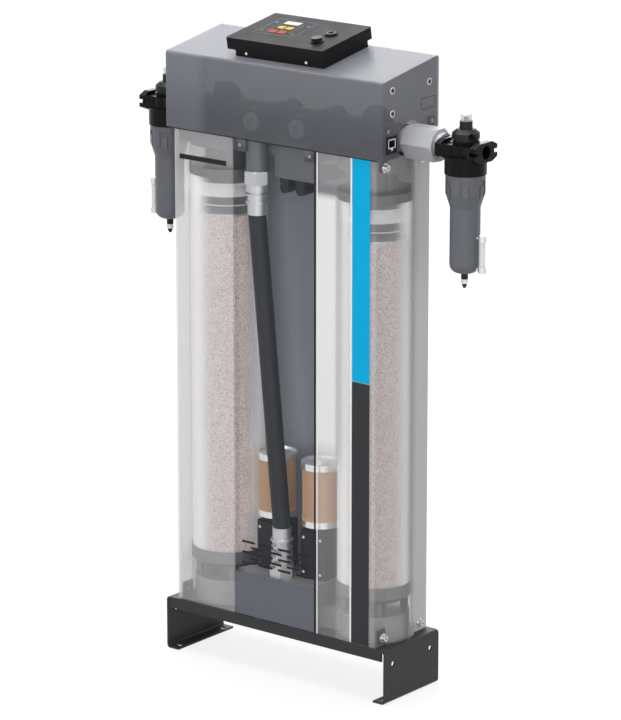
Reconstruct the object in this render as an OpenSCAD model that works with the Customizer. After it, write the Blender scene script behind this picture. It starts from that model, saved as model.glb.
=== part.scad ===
// Twin-tower desiccant air dryer with an inlet and an outlet line filter.
// X runs across the front towards the outlet, Y to the rear, Z up. The floor is at zero.

/* [Stand] */
// Width of the stand
stand_w = 451; // [445:1:470]
// Depth of the stand
stand_d = 142; // [140:1:160]
// Height of the stand's top plate above the floor
stand_h = 89; // [70:1:110]
// Sheet thickness of the stand
stand_sheet = 3; // [2:0.5:4]
// Outer bend radius of the stand's sheet
stand_bend = 6; // [4.5:0.5:8]
// Height of the front and rear lips
lip_h = 18; // [10:1:30]
// Width of the foot flanges
foot_w = 24; // [22:1:30]
// Length of a foot slot
foot_slot_l = 14; // [11:1:15]
// Width of a foot slot
foot_slot_w = 9; // [6:0.5:10]
// Distance between the front and rear foot slots
foot_slot_pitch = 110; // [90:1:116]
// Diameter of the fixing holes in the stand's sides
side_hole_d = 8.5; // [6:0.5:11]
// Distance between the fixing holes in one side
side_hole_pitch = 98; // [80:1:110]
// Height of the side holes below the top plate
side_hole_drop = 25; // [20:1:40]

/* [Towers] */
// Distance of each tower's axis from the middle
tower_x = 150; // [146:1:156]
// Outer diameter of the pressure tube
tube_d = 120; // [116:1:122]
// Wall of the pressure tube
tube_wall = 2.5; // [1.5:0.5:4]
// Height of the top of the column covers and the hood's lower edge
cover_top = 878; // [872:1:890]
// Length of a top cap's plug inside its tube
cap_plug_l = 59; // [56:1:80]
// Thickness of the bed screens
screen_t = 3; // [2:0.5:5]
// Thickness of the flange on a top cap
cap_flange_t = 14; // [8:1:18]
// Diameter of the neck on a top cap
cap_neck_d = 68; // [50:1:80]
// Diameter of the gas passage through the caps
gas_d = 24; // [16:1:30]

/* [Covers] */
// Distance of a cover's outer flat from the middle
cover_x = 203; // [201:1:208]
// Half depth of the covers
cover_y = 67; // [66:0.5:69]
// Wall of the covers
cover_wall = 2.5; // [1.5:0.5:3]
// Gap between a pressure tube and the bulge of its cover
bulge_gap = 2; // [1:0.5:3]
// Half width of the opening between the covers
centre_half = 84.3; // [80:0.1:86]
// Half width of the opening between the covers at the rear
rear_half = 118; // [100:1:119]
// Sheet thickness of the front and rear panels
panel_sheet = 1.5; // [1:0.5:2]
// Joint gap around the panels
panel_gap = 0.8; // [0.5:0.1:1.5]
// Depth of the panels' folded edges
panel_fold = 12; // [6:1:16]
// Height of the panel screws below the top of the covers
panel_screw_drop = 12; // [8:1:14]
// Distance between the two panel screws
panel_screw_pitch = 140; // [110:1:142]

/* [Vents] */
// Length of a vent slot
vent_l = 27; // [20:1:30]
// Height of a vent slot
vent_h = 4; // [3:0.5:5]
// Sideways pitch of the vent slots
vent_pitch = 36.8; // [34:0.2:38]
// Pitch of the vent rows
vent_row = 8.8; // [7:0.2:12]
// Height of the lowest vent row above the stand
vent_rise = 90; // [61:1:131]

/* [Hood] */
// Width of the hood
hood_w = 432.6; // [430:0.2:440]
// Depth of the hood
hood_d = 143; // [142:1:150]
// Height of the hood's front edge above the covers
hood_rise = 122; // [112:1:132]
// Height of the hood's rear edge above its front edge
hood_fall = 24; // [16:1:34]
// Sheet thickness of the hood
hood_sheet = 1.5; // [1:0.5:2.5]
// Bend radius of the hood's top edges
hood_bend = 5; // [3:0.5:8]

/* [Air lines] */
// Height of the inlet and outlet line above the covers
line_rise = 22; // [18:1:26]
// Distance of the outlet filter's axis from the hood's side
outlet_reach = 105.3; // [99:0.1:118]
// Distance of the inlet filter's axis from the hood's side
inlet_reach = 55; // [52:0.1:64]
// Outer diameter of the hose
hose_d = 29; // [26:0.5:31]
// Bore of the hose
hose_bore = 19; // [15:0.5:20]
// Place of the upper hose end across the dryer
hose_top_x = -53; // [-58:1:-50]
// Place of the lower hose end across the dryer
hose_low_x = -4; // [-8:1:2]
// Place of the hose in front of the mid-plane
hose_y = -44; // [-46:1:-42]
// Distance of the silencers from the middle
silencer_x = 45; // [42:1:48]
// Diameter of the silencer's end plates
silencer_d = 65; // [58:1:68]
// Length of the silencer
silencer_l = 103; // [90:1:130]

/* [Filters] */
// Length of a filter head from port to port
head_l = 77; // [74:1:84]
// Width of a filter head's end flanges
head_w = 57; // [52:1:62]
// Height of a filter head's end flanges
head_h = 19; // [17:0.5:22]
// Diameter of the port thread's wall
port_d = 21; // [18:0.5:23]
// Depth of a port
port_depth = 16; // [12:1:20]
// Diameter of the filter head's skirt
skirt_d = 65.5; // [64:0.5:70]
// Diameter of the filter bowl at its shoulder
bowl_d = 62; // [58:0.5:64]
// Diameter of the bowl's barrel
barrel_d = 47.5; // [46:0.5:52]
// Depth of the bowl's lowest point below the line
bowl_drop = 193; // [180:1:210]

/* [Controller] */
// Width of the controller's lid
lid_w = 193; // [190:1:200]
// Depth of the controller's lid
lid_d = 126; // [122:1:128]
// Height of the controller's lid
lid_h = 19; // [16:1:24]
// Height of the controller's base below the lid
plinth_h = 10; // [8:1:14]
// Travel of the push button
button_travel = 3; // [1:0.5:4]
// Diameter of the push button and the selector
button_d = 17; // [14:0.5:20]

/* [Hidden] */
$fn = 64;
// Small allowances used throughout
slip = 0.3;
cut = 1;
arc_steps = 6;
hex = 6;

// Places that follow from the driving sizes
tube_r = tube_d / 2;
tube_in = tube_r - tube_wall;
bulge_in = tube_r + bulge_gap;
cover_in_x = cover_x - cover_wall;
cover_in_y = cover_y - cover_wall;
flange_drop = 76;
flange_low = cover_top - flange_drop;
flange_top = flange_low + cap_flange_t;
manifold_h = 28;
manifold_low = cover_top - manifold_h;
cap_low = flange_low - cap_plug_l;
lower_drum_h = 41;
drum_top = stand_h + lower_drum_h;
leg_h = 23;
cup_low = drum_top + leg_h;
cup_floor = 12;
cup_edge = 7;
cup_wall_h = 27;
cup_r = bulge_in - slip;
tube_low = cup_low + cup_floor;
cap_step = 3;
bed_low = tube_low + cap_step + screen_t;
bed_top = cap_low - screen_t;
bed_l = bed_top - bed_low;
seal_r = 1.4;
groove_w = 4;
seal_drop = 45;
seal_z = flange_low - seal_drop;
waist_drop = 20;
waist_z = flange_low - waist_drop;
waist_h = 11;
waist_depth = 15;
leg_r = 6.2;
leg_circle = 48;
gas_wall = 4;

foot_slot_inset = 13.5;
foot_slot_x = stand_w / 2 - foot_slot_inset;
side_hole_z = stand_h - side_hole_drop;
tab_t = 3;
tab_w = 22;
tab_h = 26;
screw_y = 48;
low_screw_rise = 13;
low_screw_z = stand_h + low_screw_rise;
high_screw_drop = 15;
high_screw_z = cover_top - high_screw_drop;
screw_r = 3;
screw_hole_r = screw_r + slip;
screw_head_r = 5;
screw_head_h = 6;
washer_r = 7.5;
washer_t = 1.6;

panel_half = centre_half - panel_gap;
panel_low = stand_h + panel_gap;
panel_top = cover_top - panel_gap;
panel_screw_z = cover_top - panel_screw_drop;
panel_screw_x = panel_screw_pitch / 2;
panel_screw_r = 2;
hook_x = 34;
hook_w = 12;
hook_h = 6;
rear_panel_half = rear_half - panel_gap;
rear_fold = panel_fold / 2;
vent_z = stand_h + vent_rise;
vent_rows = 5;
vent_row_count = 4;
screw_grip = 4;

hood_front_h = cover_top + hood_rise;
hood_slope = atan(hood_fall / hood_d);
hood_in_x = hood_w / 2 - hood_sheet;
hood_in_y = hood_d / 2 - hood_sheet;
hood_screw_rise = 44;
hood_screw_z = cover_top + hood_screw_rise;
hood_screw_y = 55;
hood_screw_r = 2;
gland_hole_r = 4;
gland_y = 47;
gland_low_rise = 71;
gland_high_rise = 107;
gland_z = [cover_top + gland_low_rise, cover_top + gland_high_rise];
slot_r = 31;

// Top manifold and the air line through it
port_z = cover_top + line_rise;
outlet_x = hood_w / 2 + outlet_reach;
inlet_x = hood_w / 2 + inlet_reach;
line_inset = 11.3;
manifold_end = hood_w / 2 - line_inset;
drum_r = tube_r;
bar_y = 34;
line_r = 24;
line_notch = 24;
line_notch_l = 4.5;
dome_r = 22;
dome_neck_r = 26;
dome_neck_rise = 48;
dome_neck_top = cover_top + dome_neck_rise;
valve_x = 45.5;
valve_rise = 28;
valve_z = cover_top + valve_rise;
valve_r = 21;
plug_clear = 1;
valve_rear = 40;
valve_bore_r = 12;
valve_bore_l = 62;
plug_l = 14;
plug_flange_r = 15;
plug_flange_t = 3;
valve_front = plug_flange_t + plug_clear - hood_in_y;
plug_hex_r = 6;
plug_hex_depth = 6;
poppet_l = 20;
poppet_travel = 6;
spigot_r = 14;
spigot_l = 12;
pilot_drop = 63;
pilot_low = cover_top - pilot_drop;
pilot_left = -25;
pilot_right = 60;
pilot_middle = 10;
pilot_pitch = 32;
pilot_x = [pilot_middle - pilot_pitch / 2, pilot_middle + pilot_pitch / 2];
coil_r = 9;
coil_l = 26;
coil_foot_h = 8;
coil_sink = 2;
lug_w = 22;
lug_h = 20;
lug_drop = 2;
lug_top = cover_top - lug_drop;
bracket_t = 4;
bracket_half = 8;

// Hose ends
hose_port_drop = 54;
hose_port_z = cover_top - hose_port_drop;
hose_top_l = 71;
hose_top_z = hose_port_z - hose_top_l;
hose_seat_h = 73;
hose_seat_z = stand_h + hose_seat_h;
hose_low_l = 83;
hose_low_z = hose_seat_z + hose_low_l;
hose_nut_r = 21;
hose_nut_h = 22;
hose_nut_chamfer = 2;
ferrule_r = hose_d / 2 + 1;
collar_r = 17.5;
ferrule_l = 19;
neck_l = 9;
band_l = 3;
band_r = 18.5;
band_groove_r = 13.5;
hose_bands = [
    [ferrule_r, ferrule_l], [band_r, band_l], [ferrule_r, neck_l],
    [collar_r, band_l], [band_groove_r, band_l]
];
tail_r = hose_bore / 2;
tail_l = 18;
tail_bore_r = 6;

// Lower manifold, exhaust valves and silencers
lower_drum_r = 56;
bar_drop = 6;
drum_floor = 8;
lower_block_x = 72;
lower_block_front = -63;
lower_block_rear = 34;
silencer_y = -4;
valve_body_w = 50;
valve_body_round = 6;
valve_body_h = 78;
valve_body_top = hose_seat_z + valve_body_h;
valve_neck_r = 22;
valve_neck_h = 10;
valve_neck_top = valve_body_top + valve_neck_h;
valve_screw_r = 2.5;
valve_screw_depth = 2;
valve_screw_in = 8;
valve_screw_rise = 10;
plunger_r = 9;
plunger_l = 30;
plunger_bore_l = 45;
plunger_travel = 5;
silencer_foot_t = 10;
silencer_cap_t = 8;
mesh_inset = 2.5;
mesh_r = silencer_d / 2 - mesh_inset;
mesh_wall = 8;
tie_rod_r = 4;
tie_nut_r = 7;
tie_nut_h = 5;
cap_rim_w = 3;
cap_rim_h = 2.5;
mesh_low = valve_neck_top + silencer_foot_t;
mesh_top = valve_neck_top + silencer_l - silencer_cap_t;

// Filters
head_half = head_l / 2;
adapter_end = outlet_x - head_half;
adapter_hex_r = 29;
adapter_nose_l = 9;
adapter_chamfer = 4;
adapter_round_r = 20;
nipple_end = inlet_x - head_half;
nipple_hex_r = 20;
skirt_drop = 37;
skirt_low = port_z - skirt_drop;
head_low = port_z - head_h / 2;
head_top = port_z + head_h / 2;
flange_t = 11;
notch_h = 6;
notch_depth = 8;
head_waist = 21;
head_round_r = 25.5;
port_wall_r = 15.5;
shoulder_h = 30;
shoulder_low = skirt_low - shoulder_h;
taper_h = 22;
barrel_top = shoulder_low - taper_h;
bowl_low = port_z - bowl_drop;
bowl_floor = 8;
bowl_round = 14;
taper_round = 20;
shoulder_round = 8;
bowl_wall = 3;
bowl_top_drop = 8;
bowl_top = head_low - bowl_top_drop;
skirt_wall = 4;
bowl_neck_r = skirt_d / 2 - skirt_wall;
recess_count = 6;
recess_turn = 5;
recess_w = 16;
recess_sink = 4;
recess_low = shoulder_low - recess_sink;
recess_h = 26;
recess_depth = 3.2;
tongue_w = 9;
tongue_h = 17;
tongue_sink = 1;
element_r = 16;
element_cap_r = 18;
element_rise = 24;
element_low = bowl_low + element_rise;
element_cap_t = 6;
turret_h = 23;
turret_r = 21.5;
turret_neck_r = 10;
turret_neck_h = 12;
turret_top_r = 14;
turret_groove = 2;
turret_foot_h = 5;
turret_band_low = 9;
turret_band_top = 17;
turret_hole_r = 5;
turret_hole_turn = 30;
turret_hole_lean = 35;
dome_cap_r = 8.8;
dome_cap_h = 13;
dome_cap_wall = 1.2;
dome_cap_round = 4;
pin_r = 4;
pin_l = 7;
pin_travel = 3;
pin_stem_r = 2;
pin_stem_l = 8;
dome_low = head_top + turret_h + turret_neck_h;
drain_boss_r = 5.5;
drain_stem_r = 2.4;
drain_l = 24;
drain_low = bowl_low - drain_l;
drain_knob_r = 5.5;
drain_knob_h = 7;
drain_knob_drop = 17;
drain_knob_z = bowl_low - drain_knob_drop;
drain_boss_h = bowl_low - drain_knob_z - drain_knob_h - slip;
drain_nut_drop = 21;
drain_nut_z = bowl_low - drain_nut_drop;
drain_nut_r = 4.2;
drain_nut_h = 3.7;
drain_bore_r = 4.4;
grip_r = 1;
grip_out = 0.5;
grip_step = 30;
sight_r = 5;
sight_bore_r = 3.2;
sight_out = 33;
sight_rise = 9;
sight_low = bowl_low + sight_rise;
sight_span = 49;
sight_high = sight_low + sight_span;
sight_fit_r = 6.2;
sight_fit_h = 10;
sight_arm_r = 3.5;
sight_hole_r = 2;

// Controller, with its place measured along the sloping hood top
lid_left = -105.5;
lid_front = 20;
lid_wall = 2.5;
lid_round = 3;
plinth_inset = 1;
plinth_left = -89;
plinth_right = lid_left + lid_w - plinth_inset;
plinth_rear = 134;
plate_l = 96;
plate_w = 78;
plate_t = 0.8;
plate_x = -88;
plate_y = 52;
selector_x = 50;
selector_y = 91;
press_y = 55;
press_x = selector_x;
button_lip = 4;
button_stem_r = 5;
button_stem_l = 9;
stem_down = 4.5;
selector_h = 3;
bezel_t = 1.6;
bezel_w = 2.5;
selector_groove = 3;

// Network socket in the hood's outlet side
jack_y = -49;
jack_rise = 23;
jack_z = cover_top + jack_rise;
jack_w = 20;
jack_h = 18;
jack_l = 20;
jack_plate_w = 26;
jack_plate_h = 27;
jack_plate_t = 1.2;
plug_w = 12;
plug_h = 9;
plug_depth = 14;

// Fillet points for one corner of an outline
function corner(before, at, after, r) =
    let (
        a = (before - at) / norm(before - at),
        b = (after - at) / norm(after - at),
        half = acos(a * b) / 2,
        middle = at + (a + b) / norm(a + b) * r / sin(half),
        from = at + a * r / tan(half) - middle,
        to = at + b * r / tan(half) - middle,
        start = atan2(from[1], from[0]),
        turn = atan2(to[1], to[0]) - start,
        sweep = turn > 180 ? turn - 360 : turn < -180 ? turn + 360 : turn
    )
    [for (i = [0 : arc_steps])
        let (angle = start + sweep * i / arc_steps)
        middle + r * [cos(angle), sin(angle)]];

// An outline with a fillet radius for each of its corners
function rounded(points, radii) =
    let (n = len(points))
    [for (i = [0 : n - 1])
        each radii[i] > 0
            ? corner(points[(i + n - 1) % n], points[i], points[(i + 1) % n], radii[i])
            : [points[i]]];

function box_points(low, high) = [low, [high[0], low[1]], high, [low[0], high[1]]];

module box(low, high) {
    translate(low) cube(high - low);
}

module along_x(x, y, z) {
    translate([x, y, z]) rotate([0, 90, 0]) children();
}

module along_y(x, y, z) {
    translate([x, y, z]) rotate([-90, 0, 0]) children();
}

// A shape drawn across X and height, run through the depth from one Y to another
module run_y(from, to) {
    translate([0, to, 0]) rotate([90, 0, 0]) linear_extrude(to - from) children();
}

// A shape drawn across Y and height, run sideways from one X to another
module run_x(from, to) {
    translate([from, 0, 0]) rotate([90, 0, 90]) linear_extrude(to - from) children();
}

module on_side(side) {
    if (side < 0) mirror([1, 0, 0]) children();
    else children();
}

module both_sides() {
    for (side = [-1, 1]) on_side(side) children();
}

module stadium(length, width) {
    square([length - width, width], center = true);
    for (end = [-1, 1]) translate([end * (length - width) / 2, 0]) circle(d = width);
}

module hexagon_prism(r, h) {
    rotate([0, 0, 30]) cylinder(r = r, h = h, $fn = hex);
}

module ring(outer, inner, h) {
    difference() {
        cylinder(r = outer, h = h);
        translate([0, 0, -cut]) cylinder(r = inner, h = h + 2 * cut);
    }
}

// Folded stand: top plate, sides, foot flanges, lips and upstanding tabs
module stand_section() {
    outer = box_points([-stand_w / 2, 0], [stand_w / 2, stand_h]);
    inner_x = stand_w / 2 - stand_sheet;
    inner = box_points([-inner_x, stand_sheet], [inner_x, stand_h - stand_sheet]);
    bend = [for (i = [0 : 3]) stand_bend];
    inner_bend = [for (i = [0 : 3]) stand_bend - stand_sheet];
    difference() {
        polygon(rounded(outer, bend));
        polygon(rounded(inner, inner_bend));
        translate([-stand_w / 2 + foot_w, -cut]) square([stand_w - 2 * foot_w, stand_sheet + 2 * cut]);
    }
}

module base_frame() {
    color([0.04, 0.04, 0.045]) difference() {
        union() {
            run_y(-stand_d / 2, stand_d / 2) stand_section();
            for (front = [-1, 1]) {
                lip_y = front < 0 ? -stand_d / 2 : stand_d / 2 - stand_sheet;
                lip_x = stand_w / 2 - stand_bend - 1;
                box([-lip_x, lip_y, stand_h - lip_h], [lip_x, lip_y + stand_sheet, stand_h - stand_sheet]);
            }
            both_sides() for (y = [-screw_y, screw_y])
                box([cover_in_x - tab_t, y - tab_w / 2, stand_h - stand_sheet],
                    [cover_in_x, y + tab_w / 2, stand_h + tab_h]);
        }
        for (x = [-foot_slot_x, foot_slot_x], y = [-foot_slot_pitch / 2, foot_slot_pitch / 2])
            translate([x, y, -cut]) linear_extrude(stand_sheet + 2 * cut) stadium(foot_slot_l, foot_slot_w);
        both_sides() {
            for (y = [-side_hole_pitch / 2, side_hole_pitch / 2])
                along_x(stand_w / 2 - stand_sheet - cut, y, side_hole_z)
                    cylinder(d = side_hole_d, h = stand_sheet + 2 * cut);
            for (y = [-screw_y, screw_y])
                along_x(cover_in_x - tab_t - cut, y, low_screw_z)
                    cylinder(r = screw_hole_r, h = tab_t + 2 * cut);
        }
        for (x = [-hook_x, hook_x], front = [-1, 1])
            translate([x, front * (cover_y - panel_sheet / 2), stand_h])
                cube([hook_w + 2 * slip, panel_sheet + 2 * slip, 2 * (stand_sheet + cut)], center = true);
    }
}

// Column cover: an open profile with a round bulge in line with the pressure tube
module cover_section() {
    difference() {
        union() {
            translate([centre_half, -cover_y]) square([cover_x - centre_half, cover_y]);
            translate([rear_half, 0]) square([cover_x - rear_half, cover_y]);
            translate([tower_x, 0]) circle(r = bulge_in + cover_wall);
        }
        translate([centre_half - cut, -cover_in_y]) square([cover_in_x - centre_half + cut, 2 * cover_in_y]);
        translate([tower_x, 0]) circle(r = bulge_in);
    }
}

module column_cover(side) {
    on_side(side) difference() {
        translate([0, 0, stand_h]) linear_extrude(cover_top - stand_h) cover_section();
        for (y = [-screw_y, screw_y], z = [low_screw_z, high_screw_z])
            along_x(cover_in_x - cut, y, z) cylinder(r = screw_hole_r, h = cover_wall + 2 * cut);
    }
}

module left_cover() {
    color([0.8, 0.8, 0.8, 0.5]) column_cover(-1);
}

module right_cover() {
    color([0.8, 0.8, 0.8, 0.5]) column_cover(1);
}

// Folded panel between the covers; it hooks into the stand and is screwed at the top
module vents() {
    for (row = [0 : vent_rows - 1]) {
        count = vent_row_count - row % 2;
        for (i = [0 : count - 1])
            translate([(i - (count - 1) / 2) * vent_pitch, vent_z + row * vent_row]) stadium(vent_l, vent_h);
    }
}

module centre_panel(half, fold, vented) {
    difference() {
        union() {
            box([-half, -cover_y, panel_low], [half, -cover_y + panel_sheet, panel_top]);
            both_sides() box([half - panel_sheet, -cover_y, panel_low], [half, -cover_y + fold, panel_top]);
            for (x = [-hook_x, hook_x])
                box([x - hook_w / 2, -cover_y, stand_h - hook_h],
                    [x + hook_w / 2, -cover_y + panel_sheet, panel_low]);
        }
        if (vented) run_y(-cover_y - cut, -cover_y + panel_sheet + cut) vents();
        for (x = [-panel_screw_x, panel_screw_x])
            along_y(x, -cover_y - cut, panel_screw_z)
                cylinder(r = panel_screw_r + slip, h = panel_sheet + 2 * cut);
    }
}

module front_panel() {
    color([0.14, 0.15, 0.18, 0.6]) centre_panel(panel_half, panel_fold, true);
}

module rear_panel() {
    color([0.14, 0.15, 0.18]) mirror([0, 1, 0]) centre_panel(rear_panel_half, rear_fold, false);
}

// Folded hood with a sloping top, open below
module hood_section(inset) {
    low = cover_top - (inset > 0 ? cut : 0);
    front = -hood_d / 2 + inset;
    rear = hood_d / 2 - inset;
    drop = inset / cos(hood_slope);
    front_top = hood_front_h + (front + hood_d / 2) * tan(hood_slope) - drop;
    rear_top = hood_front_h + (rear + hood_d / 2) * tan(hood_slope) - drop;
    bend = hood_bend - inset;
    polygon(rounded([[front, low], [rear, low], [rear, rear_top], [front, front_top]], [0, 0, bend, bend]));
}

module hood() {
    color([0.42, 0.43, 0.47]) difference() {
        run_x(-hood_w / 2, hood_w / 2) hood_section(0);
        run_x(-hood_in_x, hood_in_x) hood_section(hood_sheet);
        both_sides() {
            along_x(hood_in_x - cut, 0, port_z) cylinder(r = slot_r, h = hood_sheet + 2 * cut);
            box([hood_in_x - cut, -slot_r, cover_top - cut], [hood_w / 2 + cut, slot_r, port_z]);
            for (y = [-hood_screw_y, hood_screw_y])
                along_x(hood_in_x - cut, y, hood_screw_z)
                    cylinder(r = hood_screw_r + slip, h = hood_sheet + 2 * cut);
        }
        for (place = [[-gland_y, gland_z[0]], [-gland_y, gland_z[1]], [gland_y, gland_z[1]]])
            along_x(hood_in_x - cut, place[0], place[1])
                cylinder(r = gland_hole_r, h = hood_sheet + 2 * cut);
        box([hood_in_x - cut, jack_y - jack_w / 2 - slip, jack_z - jack_h / 2 - slip],
            [hood_w / 2 + cut, jack_y + jack_w / 2 + slip, jack_z + jack_h / 2 + slip]);
    }
}

// Cap screws with washers through the covers
module cap_screw(shank) {
    ring(washer_r, screw_r, washer_t);
    translate([0, 0, -shank]) cylinder(r = screw_r, h = shank + washer_t);
    translate([0, 0, washer_t]) difference() {
        cylinder(r = screw_head_r, h = screw_head_h);
        translate([0, 0, screw_head_h / 2]) cylinder(r = screw_r, h = screw_head_h, $fn = hex);
    }
}

module cover_screws() {
    color([0.7, 0.7, 0.72]) both_sides() for (y = [-screw_y, screw_y], z = [low_screw_z, high_screw_z])
        along_x(cover_x, y, z) cap_screw(cover_wall + tab_t);
}

module dome_screw(r, shank) {
    head_r = 2 * r;
    translate([0, 0, -shank]) cylinder(r = r, h = shank + 0.1);
    intersection() {
        cylinder(r = head_r, h = head_r);
        translate([0, 0, -head_r * 0.75]) sphere(r = head_r * 1.25);
    }
}

module panel_screws() {
    color([0.6, 0.6, 0.62]) for (x = [-panel_screw_x, panel_screw_x], turn = [0, 180])
        rotate([0, 0, turn]) translate([x, -cover_y, panel_screw_z]) rotate([90, 0, 0])
            dome_screw(panel_screw_r, cover_wall + screw_grip);
}

module hood_screws() {
    color([0.6, 0.6, 0.62]) both_sides() for (y = [-hood_screw_y, hood_screw_y])
        along_x(hood_w / 2, y, hood_screw_z) dome_screw(hood_screw_r, hood_sheet + screw_grip);
}

// Pressure tubes and what they hold
module tower(side) {
    translate([side * tower_x, 0, 0]) children();
}

module pressure_tube(side) {
    tower(side) translate([0, 0, tube_low]) ring(tube_r, tube_in, flange_low - tube_low);
}

module left_tube() {
    color([0.85, 0.87, 0.88, 0.4]) pressure_tube(-1);
}

module right_tube() {
    color([0.85, 0.87, 0.88, 0.4]) pressure_tube(1);
}

module desiccant(side) {
    tower(side) translate([0, 0, bed_low]) cylinder(r = tube_in - slip, h = bed_l);
}

module left_bed() {
    color([0.8, 0.75, 0.75]) desiccant(-1);
}

module right_bed() {
    color([0.8, 0.75, 0.75]) desiccant(1);
}

module bed_screens() {
    color([0.6, 0.6, 0.6]) for (side = [-1, 1], z = [bed_low - screen_t, bed_top])
        tower(side) translate([0, 0, z]) cylinder(r = tube_in - slip, h = screen_t);
}

// Cast cup on four legs that closes the tube's lower end
module bottom_cap(side) {
    tower(side) {
        rotate_extrude() polygon([
            [gas_d / 2, cup_low], [cup_r - cup_edge, cup_low], [cup_r, cup_low + cup_edge],
            [cup_r, cup_low + cup_wall_h], [tube_r + slip, cup_low + cup_wall_h],
            [tube_r + slip, tube_low], [tube_in - slip, tube_low], [tube_in - slip, bed_low - screen_t],
            [gas_d / 2, bed_low - screen_t]
        ]);
        for (turn = [45 : 90 : 315]) rotate([0, 0, turn]) translate([leg_circle, 0, drum_top])
            cylinder(r = leg_r, h = leg_h + cup_floor / 2);
        translate([0, 0, drum_top]) ring(gas_d / 2 + gas_wall, gas_d / 2, leg_h + cup_floor / 2);
    }
}

module left_bottom_cap() {
    color([0.55, 0.55, 0.56]) bottom_cap(-1);
}

module right_bottom_cap() {
    color([0.55, 0.55, 0.56]) bottom_cap(1);
}

// Turned top cap: neck, flange, plug with a deep waist, and a sealed land below it
module top_cap(side) {
    plug_r = tube_in - slip;
    groove_r = plug_r - 2 * seal_r + slip;
    tower(side) rotate_extrude() polygon([
        [gas_d / 2, cap_low], [plug_r, cap_low],
        [plug_r, seal_z - groove_w / 2], [groove_r, seal_z - groove_w / 2],
        [groove_r, seal_z + groove_w / 2], [plug_r, seal_z + groove_w / 2],
        [plug_r, waist_z - waist_h], [plug_r - waist_depth, waist_z], [plug_r, waist_z + waist_h],
        [plug_r, flange_low],
        [tube_r + cut, flange_low], [tube_r + cut, flange_top], [cap_neck_d / 2, flange_top],
        [cap_neck_d / 2, manifold_low], [gas_d / 2, manifold_low]
    ]);
}

module left_top_cap() {
    color([0.5, 0.5, 0.51]) top_cap(-1);
}

module right_top_cap() {
    color([0.5, 0.5, 0.51]) top_cap(1);
}

module tube_seals() {
    color([0.1, 0.1, 0.1]) for (side = [-1, 1])
        tower(side) translate([0, 0, seal_z]) rotate_extrude()
            translate([tube_in - seal_r, 0]) circle(r = seal_r);
}

// Cast top manifold: line tube, tower drums with domes, two cross valves, lugs and hose port
module top_manifold() {
    color([0.45, 0.45, 0.47]) difference() {
        union() {
            box([-tower_x, -bar_y, manifold_low], [tower_x, bar_y, port_z]);
            box([pilot_left, -bar_y, pilot_low], [pilot_right, bar_y, manifold_low + cut]);
            along_x(-manifold_end, 0, port_z) cylinder(r = line_r, h = 2 * manifold_end);
            for (side = [-1, 1]) tower(side) {
                translate([0, 0, manifold_low]) cylinder(r = drum_r, h = cover_top - manifold_low);
                translate([0, 0, manifold_low]) cylinder(r = dome_neck_r, h = dome_neck_top - manifold_low);
                translate([0, 0, dome_neck_top]) sphere(r = dome_r);
            }
            for (side = [-1, 1]) along_y(side * valve_x, valve_front, valve_z)
                cylinder(r = valve_r, h = valve_rear - valve_front);
            for (x = [-panel_screw_x, panel_screw_x])
                box([x - lug_w / 2, panel_sheet - cover_y, lug_top - lug_h],
                    [x + lug_w / 2, cover_y - panel_sheet, lug_top]);
            both_sides() {
                for (y = [-screw_y, screw_y])
                    box([tower_x, y - tab_w / 2, lug_top - lug_h], [cover_in_x, y + tab_w / 2, lug_top]);
                box([tower_x, -hood_screw_y - bracket_half, cover_top],
                    [hood_in_x - slip, hood_screw_y + bracket_half, cover_top + bracket_t]);
                box([tower_x, -bar_y, lug_top - lug_h],
                    [tower_x + drum_r / 2, bar_y, cover_top + bracket_t]);
                for (y = [-hood_screw_y, hood_screw_y])
                    box([hood_in_x - slip - tab_t, y - bracket_half, cover_top],
                        [hood_in_x - slip, y + bracket_half, hood_screw_z + bracket_half]);
            }
            translate([hose_top_x, hose_y, hose_port_z]) cylinder(r = collar_r, h = cover_top - hose_port_z);
        }
        for (side = [-1, 1]) {
            along_y(side * valve_x, valve_front - cut, valve_z)
                cylinder(r = valve_bore_r, h = valve_bore_l + cut);
            along_x(side > 0 ? manifold_end - spigot_l : -manifold_end - cut, 0, port_z)
                cylinder(r = spigot_r + slip, h = spigot_l + cut);
            tower(side) translate([0, 0, manifold_low - cut])
                cylinder(r = gas_d / 2, h = port_z - manifold_low);
        }
        translate([hose_top_x, hose_y, hose_port_z - cut]) cylinder(r = tail_bore_r, h = lug_h + cut);
        both_sides() {
            for (y = [-screw_y, screw_y])
                along_x(cover_in_x - tab_t - slip, y, high_screw_z)
                    cylinder(r = screw_hole_r, h = tab_t + cut);
            for (y = [-hood_screw_y, hood_screw_y])
                along_x(hood_in_x - tab_t - cut, y, hood_screw_z)
                    cylinder(r = hood_screw_r + slip, h = tab_t + 2 * cut);
        }
        for (x = [-panel_screw_x, panel_screw_x], turn = [0, 180])
            rotate([0, 0, turn]) along_y(x, -cover_in_y - cut, panel_screw_z)
                cylinder(r = panel_screw_r + slip, h = screw_grip + 2 * cut);
        both_sides() box([manifold_end - line_notch_l, -line_notch, cover_top - cut],
            [hood_w / 2, line_notch, cover_top + bracket_t + cut]);
        box([hood_in_x - tab_t - cut, jack_y - jack_w / 2 - cut, jack_z - jack_h / 2 - cut],
            [hood_w / 2, jack_y + jack_w / 2 + cut, jack_z + jack_h / 2 + cut]);
    }
}

// Screwed plugs that close the front of the check valves
module valve_plugs() {
    color([0.6, 0.6, 0.62]) for (side = [-1, 1])
        along_y(side * valve_x, valve_front, valve_z) difference() {
        union() {
            cylinder(r = valve_bore_r - slip, h = plug_l);
            translate([0, 0, -plug_flange_t]) cylinder(r = plug_flange_r, h = plug_flange_t);
        }
        translate([0, 0, -plug_flange_t - cut])
            cylinder(r = plug_hex_r, h = plug_hex_depth + plug_flange_t + cut, $fn = hex);
    }
}

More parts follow.
